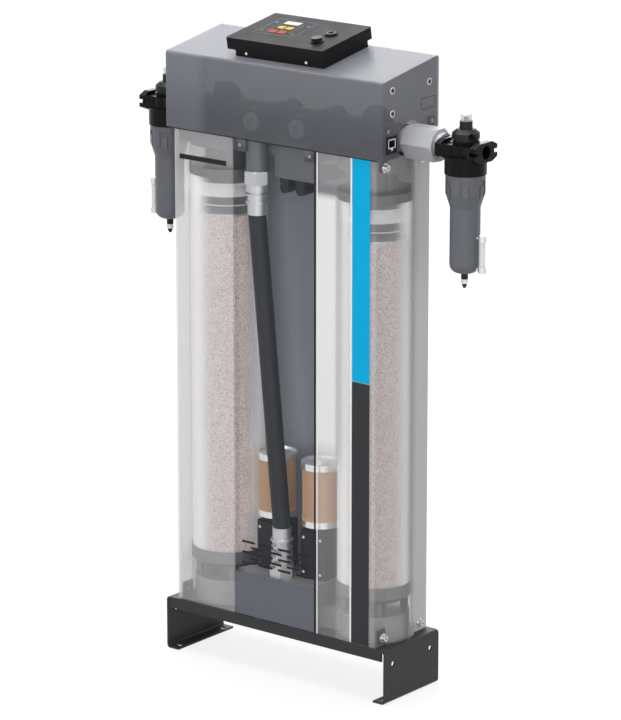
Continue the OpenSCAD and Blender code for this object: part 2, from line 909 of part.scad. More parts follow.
// Check valve poppet: a guided piston with a conical nose
module check_poppet(side) {
    nose = 6;
    rear = valve_front + valve_bore_l - slip;
    along_y(side * valve_x, rear - poppet_l, valve_z) {
        cylinder(r = valve_bore_r - slip, h = poppet_l - nose);
        translate([0, 0, poppet_l - nose])
            cylinder(r1 = valve_bore_r - slip, r2 = valve_bore_r / 2, h = nose);
    }
}

module left_check_poppet() {
    color([0.75, 0.7, 0.4]) check_poppet(-1);
}

module right_check_poppet() {
    color([0.75, 0.7, 0.4]) check_poppet(1);
}

// Pilot solenoid valves hung below the middle of the top manifold
module pilot_valves() {
    foot_low = pilot_low - coil_foot_h;
    color([0.12, 0.12, 0.13]) for (x = pilot_x) {
        box([x - coil_r, -bar_y, foot_low], [x + coil_r, 0, pilot_low]);
        along_y(x, -bar_y, foot_low - coil_r + coil_sink) cylinder(r = coil_r, h = coil_l);
    }
}

// Hose leaning between its two upright ends, cut level where it meets the ferrules
module hose() {
    across = hose_low_x - hose_top_x;
    down = hose_top_z - hose_low_z;
    spare = hose_d;
    color([0.05, 0.05, 0.055]) intersection() {
        box([-stand_w / 2, -stand_d / 2, hose_low_z], [stand_w / 2, stand_d / 2, hose_top_z]);
        translate([hose_top_x, hose_y, hose_top_z]) rotate([0, 180 - atan(across / down), 0])
            translate([0, 0, -spare]) ring(hose_d / 2, hose_bore / 2, norm([across, down]) + 2 * spare);
    }
}

// Height at which a band of the hose end starts
function band_foot(i) = i == 0 ? 0 : band_foot(i - 1) + hose_bands[i - 1][1];

// Hose end: ferrule over the hose, bands and a groove, and a seat under the nut
module hose_end(l) {
    last = band_foot(len(hose_bands));
    for (i = [0 : len(hose_bands) - 1])
        translate([0, 0, band_foot(i)]) cylinder(r = hose_bands[i][0], h = hose_bands[i][1]);
    translate([0, 0, last]) cylinder(r = collar_r, h = l - hose_nut_h - last - slip);
    translate([0, 0, -tail_l]) cylinder(r = tail_bore_r, h = tail_l + cut);
    cylinder(r = tail_r, h = l);
}

module hose_top_fitting() {
    color([0.7, 0.7, 0.72]) translate([hose_top_x, hose_y, hose_top_z])
        hose_end(hose_top_l);
}

module hose_low_fitting() {
    color([0.7, 0.7, 0.72]) translate([hose_low_x, hose_y, hose_low_z]) mirror([0, 0, 1])
        hose_end(hose_low_l);
}

module hose_nut() {
    end_r = hose_nut_r - hose_nut_chamfer;
    difference() {
        intersection() {
            cylinder(r = hose_nut_r, h = hose_nut_h, $fn = hex);
            cylinder(r1 = end_r + hose_nut_h, r2 = end_r, h = hose_nut_h);
            cylinder(r2 = end_r + hose_nut_h, r1 = end_r, h = hose_nut_h);
        }
        translate([0, 0, -cut]) cylinder(r = tail_r + slip, h = hose_nut_h + 2 * cut);
    }
}

module hose_nuts() {
    color([0.75, 0.75, 0.77]) {
        translate([hose_top_x, hose_y, hose_port_z - hose_nut_h]) hose_nut();
        translate([hose_low_x, hose_y, hose_seat_z]) hose_nut();
    }
}

// Cast lower manifold: tower drums joined by a bar, with a block for the valves and the hose
module lower_manifold() {
    color([0.35, 0.35, 0.37]) difference() {
        union() {
            for (side = [-1, 1]) tower(side) translate([0, 0, stand_h])
                cylinder(r = lower_drum_r, h = lower_drum_h);
            box([-tower_x, -bar_y, stand_h], [tower_x, bar_y, drum_top - bar_drop]);
            box([-lower_block_x, lower_block_front, stand_h],
                [lower_block_x, lower_block_rear, hose_seat_z]);
        }
        for (side = [-1, 1]) tower(side) translate([0, 0, stand_h + drum_floor])
            cylinder(r = gas_d / 2, h = lower_drum_h);
        translate([hose_low_x, hose_y, hose_seat_z - port_depth])
            cylinder(r = tail_bore_r, h = port_depth + cut);
    }
}

// Exhaust valve with a plunger that slides in an upright bore below the silencer
module exhaust_valve(side) {
    half = valve_body_w / 2;
    body_round = [for (i = [0 : 3]) valve_body_round];
    translate([side * silencer_x, silencer_y, 0]) difference() {
        union() {
            translate([0, 0, hose_seat_z]) linear_extrude(valve_body_h)
                polygon(rounded(box_points([-half, -half], [half, half]), body_round));
            translate([0, 0, valve_body_top])
                cylinder(r = valve_neck_r, h = valve_neck_h);
        }
        translate([0, 0, valve_neck_top - plunger_bore_l])
            cylinder(r = plunger_r + slip, h = plunger_bore_l + cut);
        for (end = [-1, 1], z = [hose_seat_z + valve_screw_rise, valve_body_top - valve_screw_rise])
            along_y(end * (half - valve_screw_in), -half - cut, z)
                cylinder(r = valve_screw_r, h = valve_screw_depth + cut);
    }
}

module left_exhaust_valve() {
    color([0.07, 0.07, 0.08]) exhaust_valve(-1);
}

module right_exhaust_valve() {
    color([0.07, 0.07, 0.08]) exhaust_valve(1);
}

module exhaust_plunger(side) {
    at_silencer(side, valve_neck_top - plunger_bore_l + slip) cylinder(r = plunger_r, h = plunger_l);
}

module left_exhaust_plunger() {
    color([0.7, 0.7, 0.72]) exhaust_plunger(-1);
}

module right_exhaust_plunger() {
    color([0.7, 0.7, 0.72]) exhaust_plunger(1);
}

// Silencer: foot plate, wound mesh and a cap with a tie rod
module at_silencer(side, z) {
    translate([side * silencer_x, silencer_y, z]) children();
}

module silencer_foot(side) {
    at_silencer(side, valve_neck_top) difference() {
        cylinder(r = silencer_d / 2, h = silencer_foot_t);
        translate([0, 0, -cut]) cylinder(r = tie_rod_r + slip, h = silencer_foot_t + 2 * cut);
    }
}

module left_silencer_foot() {
    color([0.75, 0.75, 0.77]) silencer_foot(-1);
}

module right_silencer_foot() {
    color([0.75, 0.75, 0.77]) silencer_foot(1);
}

module silencer_mesh(side) {
    at_silencer(side, mesh_low) ring(mesh_r, mesh_r - mesh_wall, mesh_top - mesh_low);
}

module left_silencer_mesh() {
    color([0.69, 0.55, 0.45]) silencer_mesh(-1);
}

module right_silencer_mesh() {
    color([0.69, 0.55, 0.45]) silencer_mesh(1);
}

module silencer_cap(side) {
    at_silencer(side, mesh_top) {
        cylinder(r = silencer_d / 2, h = silencer_cap_t);
        translate([0, 0, silencer_cap_t]) ring(silencer_d / 2, silencer_d / 2 - cap_rim_w, cap_rim_h);
        translate([0, 0, silencer_cap_t]) cylinder(r = tie_nut_r, h = tie_nut_h, $fn = hex);
        translate([0, 0, valve_neck_top + cut - mesh_top])
            cylinder(r = tie_rod_r, h = mesh_top - valve_neck_top);
    }
}

module left_silencer_cap() {
    color([0.75, 0.75, 0.77]) silencer_cap(-1);
}

module right_silencer_cap() {
    color([0.75, 0.75, 0.77]) silencer_cap(1);
}

// Line from the top manifold to a filter: spigot, hexagon and a threaded nose
module outlet_adapter() {
    hex_from = line_inset + cut;
    hex_l = adapter_end - manifold_end - adapter_nose_l - hex_from;
    end_r = adapter_hex_r - adapter_chamfer;
    color([0.72, 0.72, 0.74]) along_x(manifold_end, 0, port_z) {
        translate([0, 0, slip - spigot_l]) cylinder(r = spigot_r, h = spigot_l);
        translate([0, 0, hex_from]) intersection() {
            hexagon_prism(adapter_hex_r, hex_l);
            cylinder(r1 = end_r + hex_l, r2 = end_r, h = hex_l);
        }
        cylinder(r = adapter_round_r, h = adapter_end - manifold_end);
        cylinder(r = port_d / 2 - slip, h = adapter_end - manifold_end + port_depth - slip);
    }
}

module inlet_nipple() {
    color([0.72, 0.72, 0.74]) mirror([1, 0, 0]) along_x(manifold_end, 0, port_z) {
        translate([0, 0, slip - spigot_l]) cylinder(r = spigot_r, h = spigot_l);
        hexagon_prism(nipple_hex_r, nipple_end - manifold_end);
        cylinder(r = port_d / 2 - slip, h = nipple_end - manifold_end + port_depth - slip);
    }
}

// Everything on a filter is drawn about its own upright axis, outer side towards +X
module at_filter(side) {
    on_side(side) translate([side > 0 ? outlet_x : inlet_x, 0, 0]) children();
}

// Cast head: waisted bar with forked end flanges, ports at both ends and a skirt
module filter_head(side) {
    half_w = head_w / 2;
    half_h = head_h / 2;
    inner = head_half - flange_t;
    end_face = [
        [-half_w, -half_h], [-port_wall_r, -port_wall_r], [port_wall_r, -port_wall_r], [half_w, -half_h],
        [half_w, half_h], [port_wall_r, port_wall_r], [-port_wall_r, port_wall_r], [-half_w, half_h]
    ];
    at_filter(side) difference() {
        union() {
            translate([0, 0, head_low]) linear_extrude(head_h) polygon([
                [-inner, -half_w], [0, -head_waist], [inner, -half_w],
                [inner, half_w], [0, head_waist], [-inner, half_w]
            ]);
            run_x(-head_half, -inner) translate([0, port_z]) polygon(end_face);
            run_x(inner, head_half) translate([0, port_z]) polygon(end_face);
            translate([0, 0, skirt_low]) cylinder(d = skirt_d, h = head_low - skirt_low + cut);
            translate([0, 0, head_low]) cylinder(r = head_round_r, h = head_h);
        }
        for (end = [-1, 1]) along_x(end > 0 ? head_half - port_depth : -head_half - cut, 0, port_z)
            cylinder(d = port_d, h = port_depth + cut);
        for (rear = [-1, 1]) translate([head_half, rear * half_w, port_z])
            cube([2 * (flange_t + cut), 2 * notch_depth, notch_h], center = true);
        translate([0, 0, skirt_low - cut])
            cylinder(r = bowl_neck_r + slip, h = bowl_top - skirt_low + slip + cut);
    }
}

module inlet_head() {
    color([0.04, 0.04, 0.045]) filter_head(-1);
}

module outlet_head() {
    color([0.04, 0.04, 0.045]) filter_head(1);
}

// Drawn bowl: threaded neck, shoulder with finger recesses, tapered to a rounded barrel
module filter_bowl(side) {
    r1 = bowl_d / 2;
    r2 = barrel_d / 2;
    floor_z = bowl_low + bowl_floor;
    shell = rounded(
        [[0, bowl_low], [r2, bowl_low], [r2, barrel_top], [r1, shoulder_low], [r1, skirt_low - slip],
         [bowl_neck_r, skirt_low - slip], [bowl_neck_r, bowl_top], [bowl_neck_r - bowl_wall, bowl_top],
         [bowl_neck_r - bowl_wall, shoulder_low], [r2 - bowl_wall, barrel_top],
         [r2 - bowl_wall, floor_z], [0, floor_z]],
        [0, bowl_round, taper_round, shoulder_round, 0, 0, 0, 0, 0, 0, bowl_wall, 0]);
    at_filter(side) difference() {
        rotate_extrude() polygon(shell);
        for (i = [0 : recess_count - 1]) rotate([0, 0, 360 * i / recess_count + recess_turn]) difference() {
            box([r1 - recess_depth, -recess_w / 2, recess_low],
                [r1 + cut, recess_w / 2, recess_low + recess_h]);
            box([r1 - recess_depth - cut, -tongue_w / 2, recess_low - cut],
                [r1 - tongue_sink, tongue_w / 2, recess_low + tongue_h]);
        }
        translate([0, 0, bowl_low - cut]) cylinder(r = drain_bore_r, h = floor_z - bowl_low + 2 * cut);
        for (z = [sight_low, sight_high]) along_x(r2 - bowl_wall - cut, 0, z)
            cylinder(r = sight_hole_r, h = bowl_wall + 2 * cut);
    }
}

module inlet_bowl() {
    color([0.3, 0.31, 0.33]) filter_bowl(-1);
}

module outlet_bowl() {
    color([0.3, 0.31, 0.33]) filter_bowl(1);
}

module filter_elements() {
    color([0.85, 0.82, 0.7]) for (side = [-1, 1]) at_filter(side) translate([0, 0, element_low]) {
        l = bowl_top - element_low;
        cylinder(r = element_r, h = l);
        for (z = [0, l - element_cap_t])
            translate([0, 0, z]) cylinder(r = element_cap_r, h = element_cap_t);
    }
}

// Differential pressure indicator: turret, clear dome and a sliding pin
module indicator_turrets() {
    low_edge = turret_r - turret_groove;
    color([0.04, 0.04, 0.045]) for (side = [-1, 1]) at_filter(side) translate([0, 0, head_top])
        difference() {
            union() {
                rotate_extrude() polygon([
                    [0, 0], [low_edge, 0], [turret_r, turret_foot_h], [low_edge, turret_foot_h],
                    [low_edge, turret_band_low], [turret_r, turret_band_low], [turret_r, turret_band_top],
                    [turret_top_r, turret_h], [0, turret_h]
                ]);
                cylinder(r = turret_neck_r, h = turret_h + turret_neck_h);
            }
            translate([0, 0, -cut]) cylinder(r = pin_stem_r + slip, h = turret_h + turret_neck_h + 2 * cut);
            rotate([0, 0, -turret_hole_turn]) translate([low_edge, 0, turret_band_low])
                rotate([0, turret_hole_lean, 0]) cylinder(r = turret_hole_r, h = turret_r);
        }
}

module indicator_domes() {
    inner_r = dome_cap_r - dome_cap_wall;
    inner_h = dome_cap_h - dome_cap_wall;
    inner_round = dome_cap_round - dome_cap_wall;
    color([0.9, 0.9, 0.9, 0.3]) for (side = [-1, 1])
        at_filter(side) translate([0, 0, dome_low]) rotate_extrude() polygon(rounded(
            [[0, inner_h], [inner_r, inner_h], [inner_r, 0],
             [dome_cap_r, 0], [dome_cap_r, dome_cap_h], [0, dome_cap_h]],
            [0, inner_round, 0, 0, dome_cap_round, 0]));
}

module indicator_pin(side) {
    at_filter(side) translate([0, 0, dome_low]) {
        translate([0, 0, slip]) cylinder(r = pin_r, h = pin_l);
        translate([0, 0, -pin_stem_l]) cylinder(r = pin_stem_r, h = pin_stem_l + cut);
    }
}

module inlet_pin() {
    color([0.6, 0.2, 0.15]) indicator_pin(-1);
}

module outlet_pin() {
    color([0.6, 0.2, 0.15]) indicator_pin(1);
}

// Drain at the foot of a bowl: a stem with a boss, a turning knob and a lock nut
module drain_stems() {
    color([0.1, 0.1, 0.1]) for (side = [-1, 1]) at_filter(side) {
        translate([0, 0, bowl_low - drain_boss_h]) cylinder(r = drain_boss_r, h = drain_boss_h);
        translate([0, 0, drain_low]) cylinder(r = drain_stem_r, h = bowl_low - drain_low + bowl_wall);
        translate([0, 0, drain_nut_z]) cylinder(r = drain_nut_r, h = drain_nut_h, $fn = hex);
    }
}

module drain_knob(side) {
    at_filter(side) translate([0, 0, drain_knob_z]) difference() {
        cylinder(r = drain_knob_r, h = drain_knob_h);
        translate([0, 0, -cut]) cylinder(r = drain_stem_r + slip, h = drain_knob_h + 2 * cut);
        for (turn = [0 : grip_step : 360 - grip_step]) rotate([0, 0, turn])
            translate([drain_knob_r + grip_out, 0, -cut]) cylinder(r = grip_r, h = drain_knob_h + 2 * cut);
    }
}

module inlet_drain_knob() {
    color([0.7, 0.7, 0.72]) drain_knob(-1);
}

module outlet_drain_knob() {
    color([0.7, 0.7, 0.72]) drain_knob(1);
}

// Sight glass: a clear tube between two fittings on the outer side of a bowl
module sight_tubes() {
    color([0.9, 0.9, 0.9, 0.4]) for (side = [-1, 1]) at_filter(side)
        translate([sight_out, 0, sight_low + sight_fit_h / 2])
            ring(sight_r, sight_bore_r, sight_high - sight_low - sight_fit_h);
}

module sight_fittings() {
    color([0.75, 0.75, 0.77]) for (side = [-1, 1], z = [sight_low, sight_high]) at_filter(side) {
        translate([sight_out, 0, z - sight_fit_h / 2]) cylinder(r = sight_fit_r, h = sight_fit_h);
        along_x(barrel_d / 2, 0, z) cylinder(r = sight_arm_r, h = sight_out - barrel_d / 2);
        along_x(barrel_d / 2 - bowl_wall, 0, z) cylinder(r = sight_hole_r - slip, h = bowl_wall + cut);
    }
}

// Controller on the hood's sloping top
module on_hood_top() {
    translate([0, -hood_d / 2, hood_front_h]) rotate([hood_slope, 0, 0]) children();
}

module controller_plinth() {
    color([0.05, 0.05, 0.05]) on_hood_top()
        box([plinth_left, lid_front + plinth_inset, 0], [plinth_right, plinth_rear, plinth_h]);
}

module controller_lid() {
    outline = box_points([lid_left, lid_front], [lid_left + lid_w, lid_front + lid_d]);
    hollow = box_points([lid_left + lid_wall, lid_front + lid_wall],
        [lid_left + lid_w - lid_wall, lid_front + lid_d - lid_wall]);
    round_all = [for (i = [0 : 3]) lid_round];
    color([0.05, 0.05, 0.05]) on_hood_top() translate([0, 0, plinth_h]) difference() {
        union() {
            linear_extrude(lid_h) polygon(rounded(outline, round_all));
            for (y = [press_y, selector_y])
                translate([press_x, y, lid_h]) ring(button_d / 2 + bezel_w, button_d / 2, bezel_t);
        }
        translate([0, 0, lid_wall]) linear_extrude(lid_h - 2 * lid_wall) polygon(hollow);
        for (y = [press_y, selector_y])
            translate([press_x, y, lid_h - 2 * lid_wall])
                cylinder(r = button_stem_r + slip, h = 3 * lid_wall);
        translate([plate_x, plate_y, lid_h - plate_t]) cube([plate_l, plate_w, 2 * plate_t]);
    }
}

module push_button() {
    color([0.03, 0.03, 0.03]) on_hood_top() translate([press_x, press_y, plinth_h + lid_h]) {
        translate([0, 0, button_travel + slip]) cylinder(r = button_d / 2 - slip, h = button_lip);
        translate([0, 0, slip - stem_down]) cylinder(r = button_stem_r, h = button_stem_l);
    }
}

module selector() {
    color([0.03, 0.03, 0.03]) on_hood_top()
        translate([selector_x, selector_y, plinth_h + lid_h]) difference() {
            union() {
                translate([0, 0, slip]) cylinder(r = button_d / 2 - slip, h = selector_h);
                translate([0, 0, slip - stem_down]) cylinder(r = button_stem_r, h = stem_down + cut);
            }
            translate([0, 0, selector_h - cut]) cylinder(r = button_d / 4, h = selector_h);
            translate([0, button_d / 3, button_lip])
                cube([selector_groove, button_d / 2, 2 * selector_groove], center = true);
        }
}

// Network socket: a body through the hood's outlet side behind a thin surround
module network_jack() {
    outer = hood_w / 2;
    color([0.08, 0.08, 0.08]) difference() {
        union() {
            box([outer, jack_y - jack_plate_w / 2, jack_z - jack_plate_h / 2],
                [outer + jack_plate_t, jack_y + jack_plate_w / 2, jack_z + jack_plate_h / 2]);
            box([outer - jack_l, jack_y - jack_w / 2, jack_z - jack_h / 2],
                [outer + jack_plate_t, jack_y + jack_w / 2, jack_z + jack_h / 2]);
        }
        box([outer - plug_depth, jack_y - plug_w / 2, jack_z - plug_h / 2 + 1],
            [outer + jack_plate_t + cut, jack_y + plug_w / 2, jack_z + plug_h / 2 + 1]);
    }
}

base_frame();
left_cover();
right_cover();
front_panel();
rear_panel();
hood();
cover_screws();
panel_screws();
hood_screws();
left_tube();
right_tube();
left_bed();
right_bed();
left_bottom_cap();
right_bottom_cap();
left_top_cap();
right_top_cap();
bed_screens();
tube_seals();
top_manifold();
lower_manifold();
valve_plugs();
left_check_poppet();
right_check_poppet();
pilot_valves();
left_exhaust_valve();
right_exhaust_valve();
left_exhaust_plunger();
right_exhaust_plunger();
left_silencer_foot();
right_silencer_foot();
left_silencer_mesh();
right_silencer_mesh();
left_silencer_cap();
right_silencer_cap();
hose();
hose_top_fitting();
hose_low_fitting();
hose_nuts();
inlet_nipple();
outlet_adapter();
inlet_head();
outlet_head();
inlet_bowl();
outlet_bowl();
filter_elements();
indicator_turrets();
indicator_domes();
inlet_pin();
outlet_pin();
drain_stems();
inlet_drain_knob();
outlet_drain_knob();
sight_tubes();
sight_fittings();
controller_lid();
controller_plinth();
push_button();
selector();
network_jack();
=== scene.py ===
# %% [markdown]
# # A twin-tower desiccant air dryer
# Two tall tubes of drying beads stand side by side on a folded stand. Covers, panel and tubes are shown
# see-through, so half of this lesson is about finishes that let the eye pass: tinted sheet and clear wall. The other
# half is about grain: powder coat, cast metal, loose beads and wound wire. The solids come from the CAD frame and
# stay as they are.

import math

import bmesh
import bpy
from mathutils import Matrix, Vector


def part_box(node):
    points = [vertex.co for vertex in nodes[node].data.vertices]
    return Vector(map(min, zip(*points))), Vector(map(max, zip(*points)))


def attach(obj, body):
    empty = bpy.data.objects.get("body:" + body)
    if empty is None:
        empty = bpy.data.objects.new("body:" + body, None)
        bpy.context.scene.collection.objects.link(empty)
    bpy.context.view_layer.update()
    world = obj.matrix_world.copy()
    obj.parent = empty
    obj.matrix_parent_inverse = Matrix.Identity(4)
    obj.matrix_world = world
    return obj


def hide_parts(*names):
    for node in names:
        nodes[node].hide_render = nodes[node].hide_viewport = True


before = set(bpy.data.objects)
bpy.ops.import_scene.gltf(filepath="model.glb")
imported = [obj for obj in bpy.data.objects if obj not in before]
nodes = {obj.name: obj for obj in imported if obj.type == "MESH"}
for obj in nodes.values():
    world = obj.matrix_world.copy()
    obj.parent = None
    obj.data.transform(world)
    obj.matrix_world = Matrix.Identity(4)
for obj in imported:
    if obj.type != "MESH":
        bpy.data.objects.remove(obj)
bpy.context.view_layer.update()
MM = 0.001

# %% [markdown]
# ## The camera
# The picture was taken from the front and the outlet side, a little above the middle. A long lens from far away
# keeps the upright edges nearly parallel, so no lens shift is needed. The numbers come from a fit of the stand,
# cover and hood corners.

# %% Camera
TARGET = Vector((19.6, 0.0, 516.7)) * MM
AZIMUTH = math.radians(38.45)
ELEVATION = math.radians(15.21)
DISTANCE = 6.420
LENS, SENSOR = 201.6, 36.0
CLIP_END = 100.0
towards_eye = Vector((
    math.sin(AZIMUTH) * math.cos(ELEVATION),
    -math.cos(AZIMUTH) * math.cos(ELEVATION),
    math.sin(ELEVATION),
))
camera = bpy.data.objects.new("camera", bpy.data.cameras.new("camera"))
camera.location = TARGET + towards_eye * DISTANCE
camera.rotation_mode = "QUATERNION"
camera.rotation_quaternion = (-towards_eye).to_track_quat("-Z", "Y")
camera.data.lens = LENS
camera.data.sensor_width = SENSOR
camera.data.clip_end = CLIP_END
bpy.context.scene.collection.objects.link(camera)
bpy.context.scene.camera = camera
print("camera at", [round(v, 3) for v in camera.location])

# %% [markdown]
# ## Writing shaders as sums
# A shader is a graph, but a formula is easier to read. `Field` wraps one socket so that `+`, `-` and `*` add Math
# nodes, and `Finish` holds one material with a single method that adds any other node. Colours are written as a
# screen shows them, and `linear` turns them into light.

# %% Colours and fields
def linear(red, green, blue):
    """Screen colour from 0 to 255 as the light it stands for, by the sRGB curve."""
    return tuple(
        v / 12.92 / 255 if v < 10.3 else ((v / 255 + 0.055) / 1.055) ** 2.4
        for v in (red, green, blue)
    )


def toned(colour, share):
    return tuple(v * share for v in colour)


class Field:
    """A number that varies over a surface."""

    def __init__(self, finish, socket):
        self.finish = finish
        self.socket = socket

    def combine(self, operation, first, second):
        node = self.finish.add("ShaderNodeMath", {"operation": operation}, {0: first, 1: second})
        return Field(self.finish, node.outputs[0])

    def __add__(self, other):
        return self.combine("ADD", self, other)

    __radd__ = __add__

    def __mul__(self, other):
        return self.combine("MULTIPLY", self, other)

    __rmul__ = __mul__

    def __sub__(self, other):
        return self.combine("SUBTRACT", self, other)

    def __rsub__(self, other):
        return self.combine("SUBTRACT", other, self)

    def rise(self, low, high):
        """Goes smoothly from 0 to 1 between two values."""
        node = self.finish.add("ShaderNodeMapRange", {"interpolation_type": "SMOOTHSTEP"}, {
            "Value": self, "From Min": low, "From Max": high})
        return Field(self.finish, node.outputs[0])

    def at_least(self, other):
        return self.combine("MAXIMUM", self, other)


print("colours and fields ready")

# %% Finishes as objects
class Finish:
    """One material and its node tree."""

    MIX_FROM, MIX_TO, MIXED = 6, 7, 2  # where the Mix node keeps its colours

    def __init__(self, name, **constants):
        self.material = bpy.data.materials.new(name)
        self.material.use_nodes = True
        self.tree = self.material.node_tree
        self.shader = self.tree.nodes["Principled BSDF"]
        self.place = self.add("ShaderNodeTexCoord").outputs["Object"]
        self.wear(**constants)

    def add(self, kind, settings=None, inputs=None):
        node = self.tree.nodes.new(kind)
        for key, value in (settings or {}).items():
            if key == "stops":
                self.fill_ramp(node, value)
            else:
                setattr(node, key, value)
        for key, value in (inputs or {}).items():
            self.set(node, key, value)
        return node

    def set(self, node, key, value):
        if isinstance(value, Field):
            value = value.socket
        if isinstance(value, bpy.types.NodeSocket):
            self.tree.links.new(value, node.inputs[key])
        elif isinstance(value, tuple) and len(value) == 3 and node.inputs[key].type == "RGBA":
            node.inputs[key].default_value = (*value, 1.0)
        else:
            node.inputs[key].default_value = value

    def fill_ramp(self, node, stops):
        ramp = node.color_ramp
        while len(ramp.elements) < len(stops):
            ramp.elements.new(1.0)
        for element, (where, colour) in zip(ramp.elements, stops):
            element.position = where
            element.color = (*colour, 1.0)

    def axes(self):
        parts = self.add("ShaderNodeSeparateXYZ", inputs={"Vector": self.place}).outputs
        return [Field(self, part) for part in parts]

    def noise(self, scale, detail=2.0):
        values = {"Vector": self.place, "Scale": scale, "Detail": detail}
        return Field(self, self.add("ShaderNodeTexNoise", inputs=values).outputs["Fac"])

    def mix(self, factor, first, second):
        node = self.add("ShaderNodeMix", {"data_type": "RGBA"}, {0: factor})
        self.set(node, self.MIX_FROM, first)
        self.set(node, self.MIX_TO, second)
        return node.outputs[self.MIXED]

    def tones(self, factor, colour, low, high):
        """One colour, from a low share of its light to a high one."""
        return self.mix(factor, toned(colour, low), toned(colour, high))

    def bump(self, height, strength, distance):
        values = {"Height": height, "Strength": strength, "Distance": distance}
        return self.add("ShaderNodeBump", inputs=values).outputs["Normal"]

    def wear(self, **values):
        """Sets the shader's own sockets, with underscores for the spaces in their names."""
        for socket, value in values.items():
            self.set(self.shader, socket.replace("_", " "), value)
        return self.material


print("finish helper ready")

# %% [markdown]
# ## Painted sheet
# Powder coat on folded steel has a fine orange-peel skin, a slightly uneven tone and a slightly uneven shine.

# %% Powder coat
CLOUD_SCALE = 9.0
SKIN_SCALE, SKIN_DEPTH = 1100.0, 0.0002
UNEVEN_SHINE = 0.12


def coated(name, colour, roughness, peel=0.12, shine=0.4):
    finish = Finish(name, Specular_IOR_Level=shine)
    cloud = finish.noise(CLOUD_SCALE)
    skin = finish.noise(SKIN_SCALE, 1.0)
    return finish.wear(
        Base_Color=finish.tones(cloud, colour, 0.94, 1.05),
        Roughness=roughness + (cloud - 0.5) * UNEVEN_SHINE,
        Normal=finish.bump(skin, peel, SKIN_DEPTH),
    )


stand_black = coated("stand_black", linear(52, 52, 54), 0.42, shine=0.2)
rear_slate = coated("rear_slate", linear(145, 151, 159), 0.5)
head_black = coated("head_black", linear(13, 13, 15), 0.26, peel=0.15, shine=0.1)
bowl_grey = coated("bowl_grey", linear(98, 100, 107), 0.34, shine=0.25)
print("powder coats ready")

# %% [markdown]
# ## Tinted sheet
# The hood, the covers and the front panel are shown tinted, clearer in some places than in others. Their alpha
# follows the place on the piece, never the place of the eye. Their colour also carries painted light: the hood is
# painted lighter towards its top, and the covers are painted darker behind and on the outlet flank, as painted shade.
# Each pair below tells where one change starts and where it ends, in metres along one axis. The shares after them
# tell how much each place hides, or how much light a place with painted shade keeps.

# %% Where the sheet is clear
# z: the hood is painted lighter towards its top, as painted light from above
HOOD_PAINTED_TOPLIGHT = (0.88, 1.0)
HOOD_INLET_END = (-0.155, -0.125)
HOOD_FRONT = (-0.07, -0.066)
COVER_FLANK = (0.196, 0.204)
COVER_BACK = (0.0, 0.03)
SHEET_FOOT = (0.155, 0.168)
HEAD_START, HEAD_END = (0.735, 0.76), (0.82, 0.835)
STRIP_SIDE = (0.119, 0.129)
STRIP_START, STRIP_END = (0.355, 0.42), (0.80, 0.815)
PANEL_FACE = (-0.0656, -0.0652)
HOOD_ALPHA = 0.56
COVER_ALPHA = 0.2
HEAD_CLEARER = 0.09
WINDOW_CLEARER = 0.09
INLET_FLANK_SOLID = 0.44
# Shares of light kept where the outlet flank and the covers' backs get painted shade.
OUTLET_FLANK_PAINTED_SHADE = 0.66
COVER_BACK_PAINTED_SHADE = 0.8
PANEL_ALPHA = 0.1
PANEL_FOOT_ALPHA = 0.75
SHEET_TONES = (0.97, 1.02)
print("one cover wall hides", COVER_ALPHA, "and one panel wall", PANEL_ALPHA)

# %% Tinted sheet by place
def tinted(name):
    """A sheet to start from, with a cloud for its tone and its three axes."""
    finish = Finish(name, Specular_IOR_Level=0.25, Roughness=0.3)
    return finish, finish.noise(CLOUD_SCALE), finish.axes()


def hood_sheet(name, low, high):
    """Painted light makes it lighter towards the top; it is faintly clear except in front at the inlet end."""
    finish, cloud, (x, y, z) = tinted(name)
    clear_place = x.rise(*HOOD_INLET_END).at_least(y.rise(*HOOD_FRONT))
    return finish.wear(
        # painted light: the hood's grey grows lighter towards its top
        Base_Color=finish.mix(z.rise(*HOOD_PAINTED_TOPLIGHT), low, high),
        Roughness=0.34 + (cloud - 0.5) * UNEVEN_SHINE,
        Alpha=1.0 - clear_place * (1.0 - HOOD_ALPHA),
        Normal=finish.bump(finish.noise(SKIN_SCALE, 1.0), 0.05, SKIN_DEPTH),
    )


def cover_sheet(name, colour, strip=False):
    """Clear in front, clearer at the tower's head, solid behind with painted shade; a strip beside the panel can be
    solid too, and on the outlet cover the flank takes painted shade.
    """
    finish, cloud, (x, y, z) = tinted(name)
    flank = x.at_least(0.0 - x).rise(*COVER_FLANK)
    back = y.rise(*COVER_BACK) * z.rise(*SHEET_FOOT).at_least(flank)
    head = z.rise(*HEAD_START) * (1.0 - z.rise(*HEAD_END))
    clear_alpha = COVER_ALPHA - head * HEAD_CLEARER
    skin = finish.tones(cloud, colour, *SHEET_TONES)
    if strip:
        beside = 1.0 - x.rise(*STRIP_SIDE)
        below = 1.0 - z.rise(*STRIP_START)
        window = below.at_least(z.rise(*STRIP_END))
        solid = back.at_least(beside * (1.0 - window))
        clear_alpha = clear_alpha - beside * below * WINDOW_CLEARER
        # painted shade: the outlet flank is darker, as a side out of the light
        skin = finish.mix(flank, skin, toned(colour, OUTLET_FLANK_PAINTED_SHADE))
    else:
        solid = back.at_least(flank * INLET_FLANK_SOLID)
    return finish.wear(
        # painted shade: the solid back is darker, as the cover's unlit side
        Base_Color=finish.mix(back * (1.0 - flank), skin, toned(colour, COVER_BACK_PAINTED_SHADE)),
        Alpha=clear_alpha + solid * (1.0 - clear_alpha),
    )


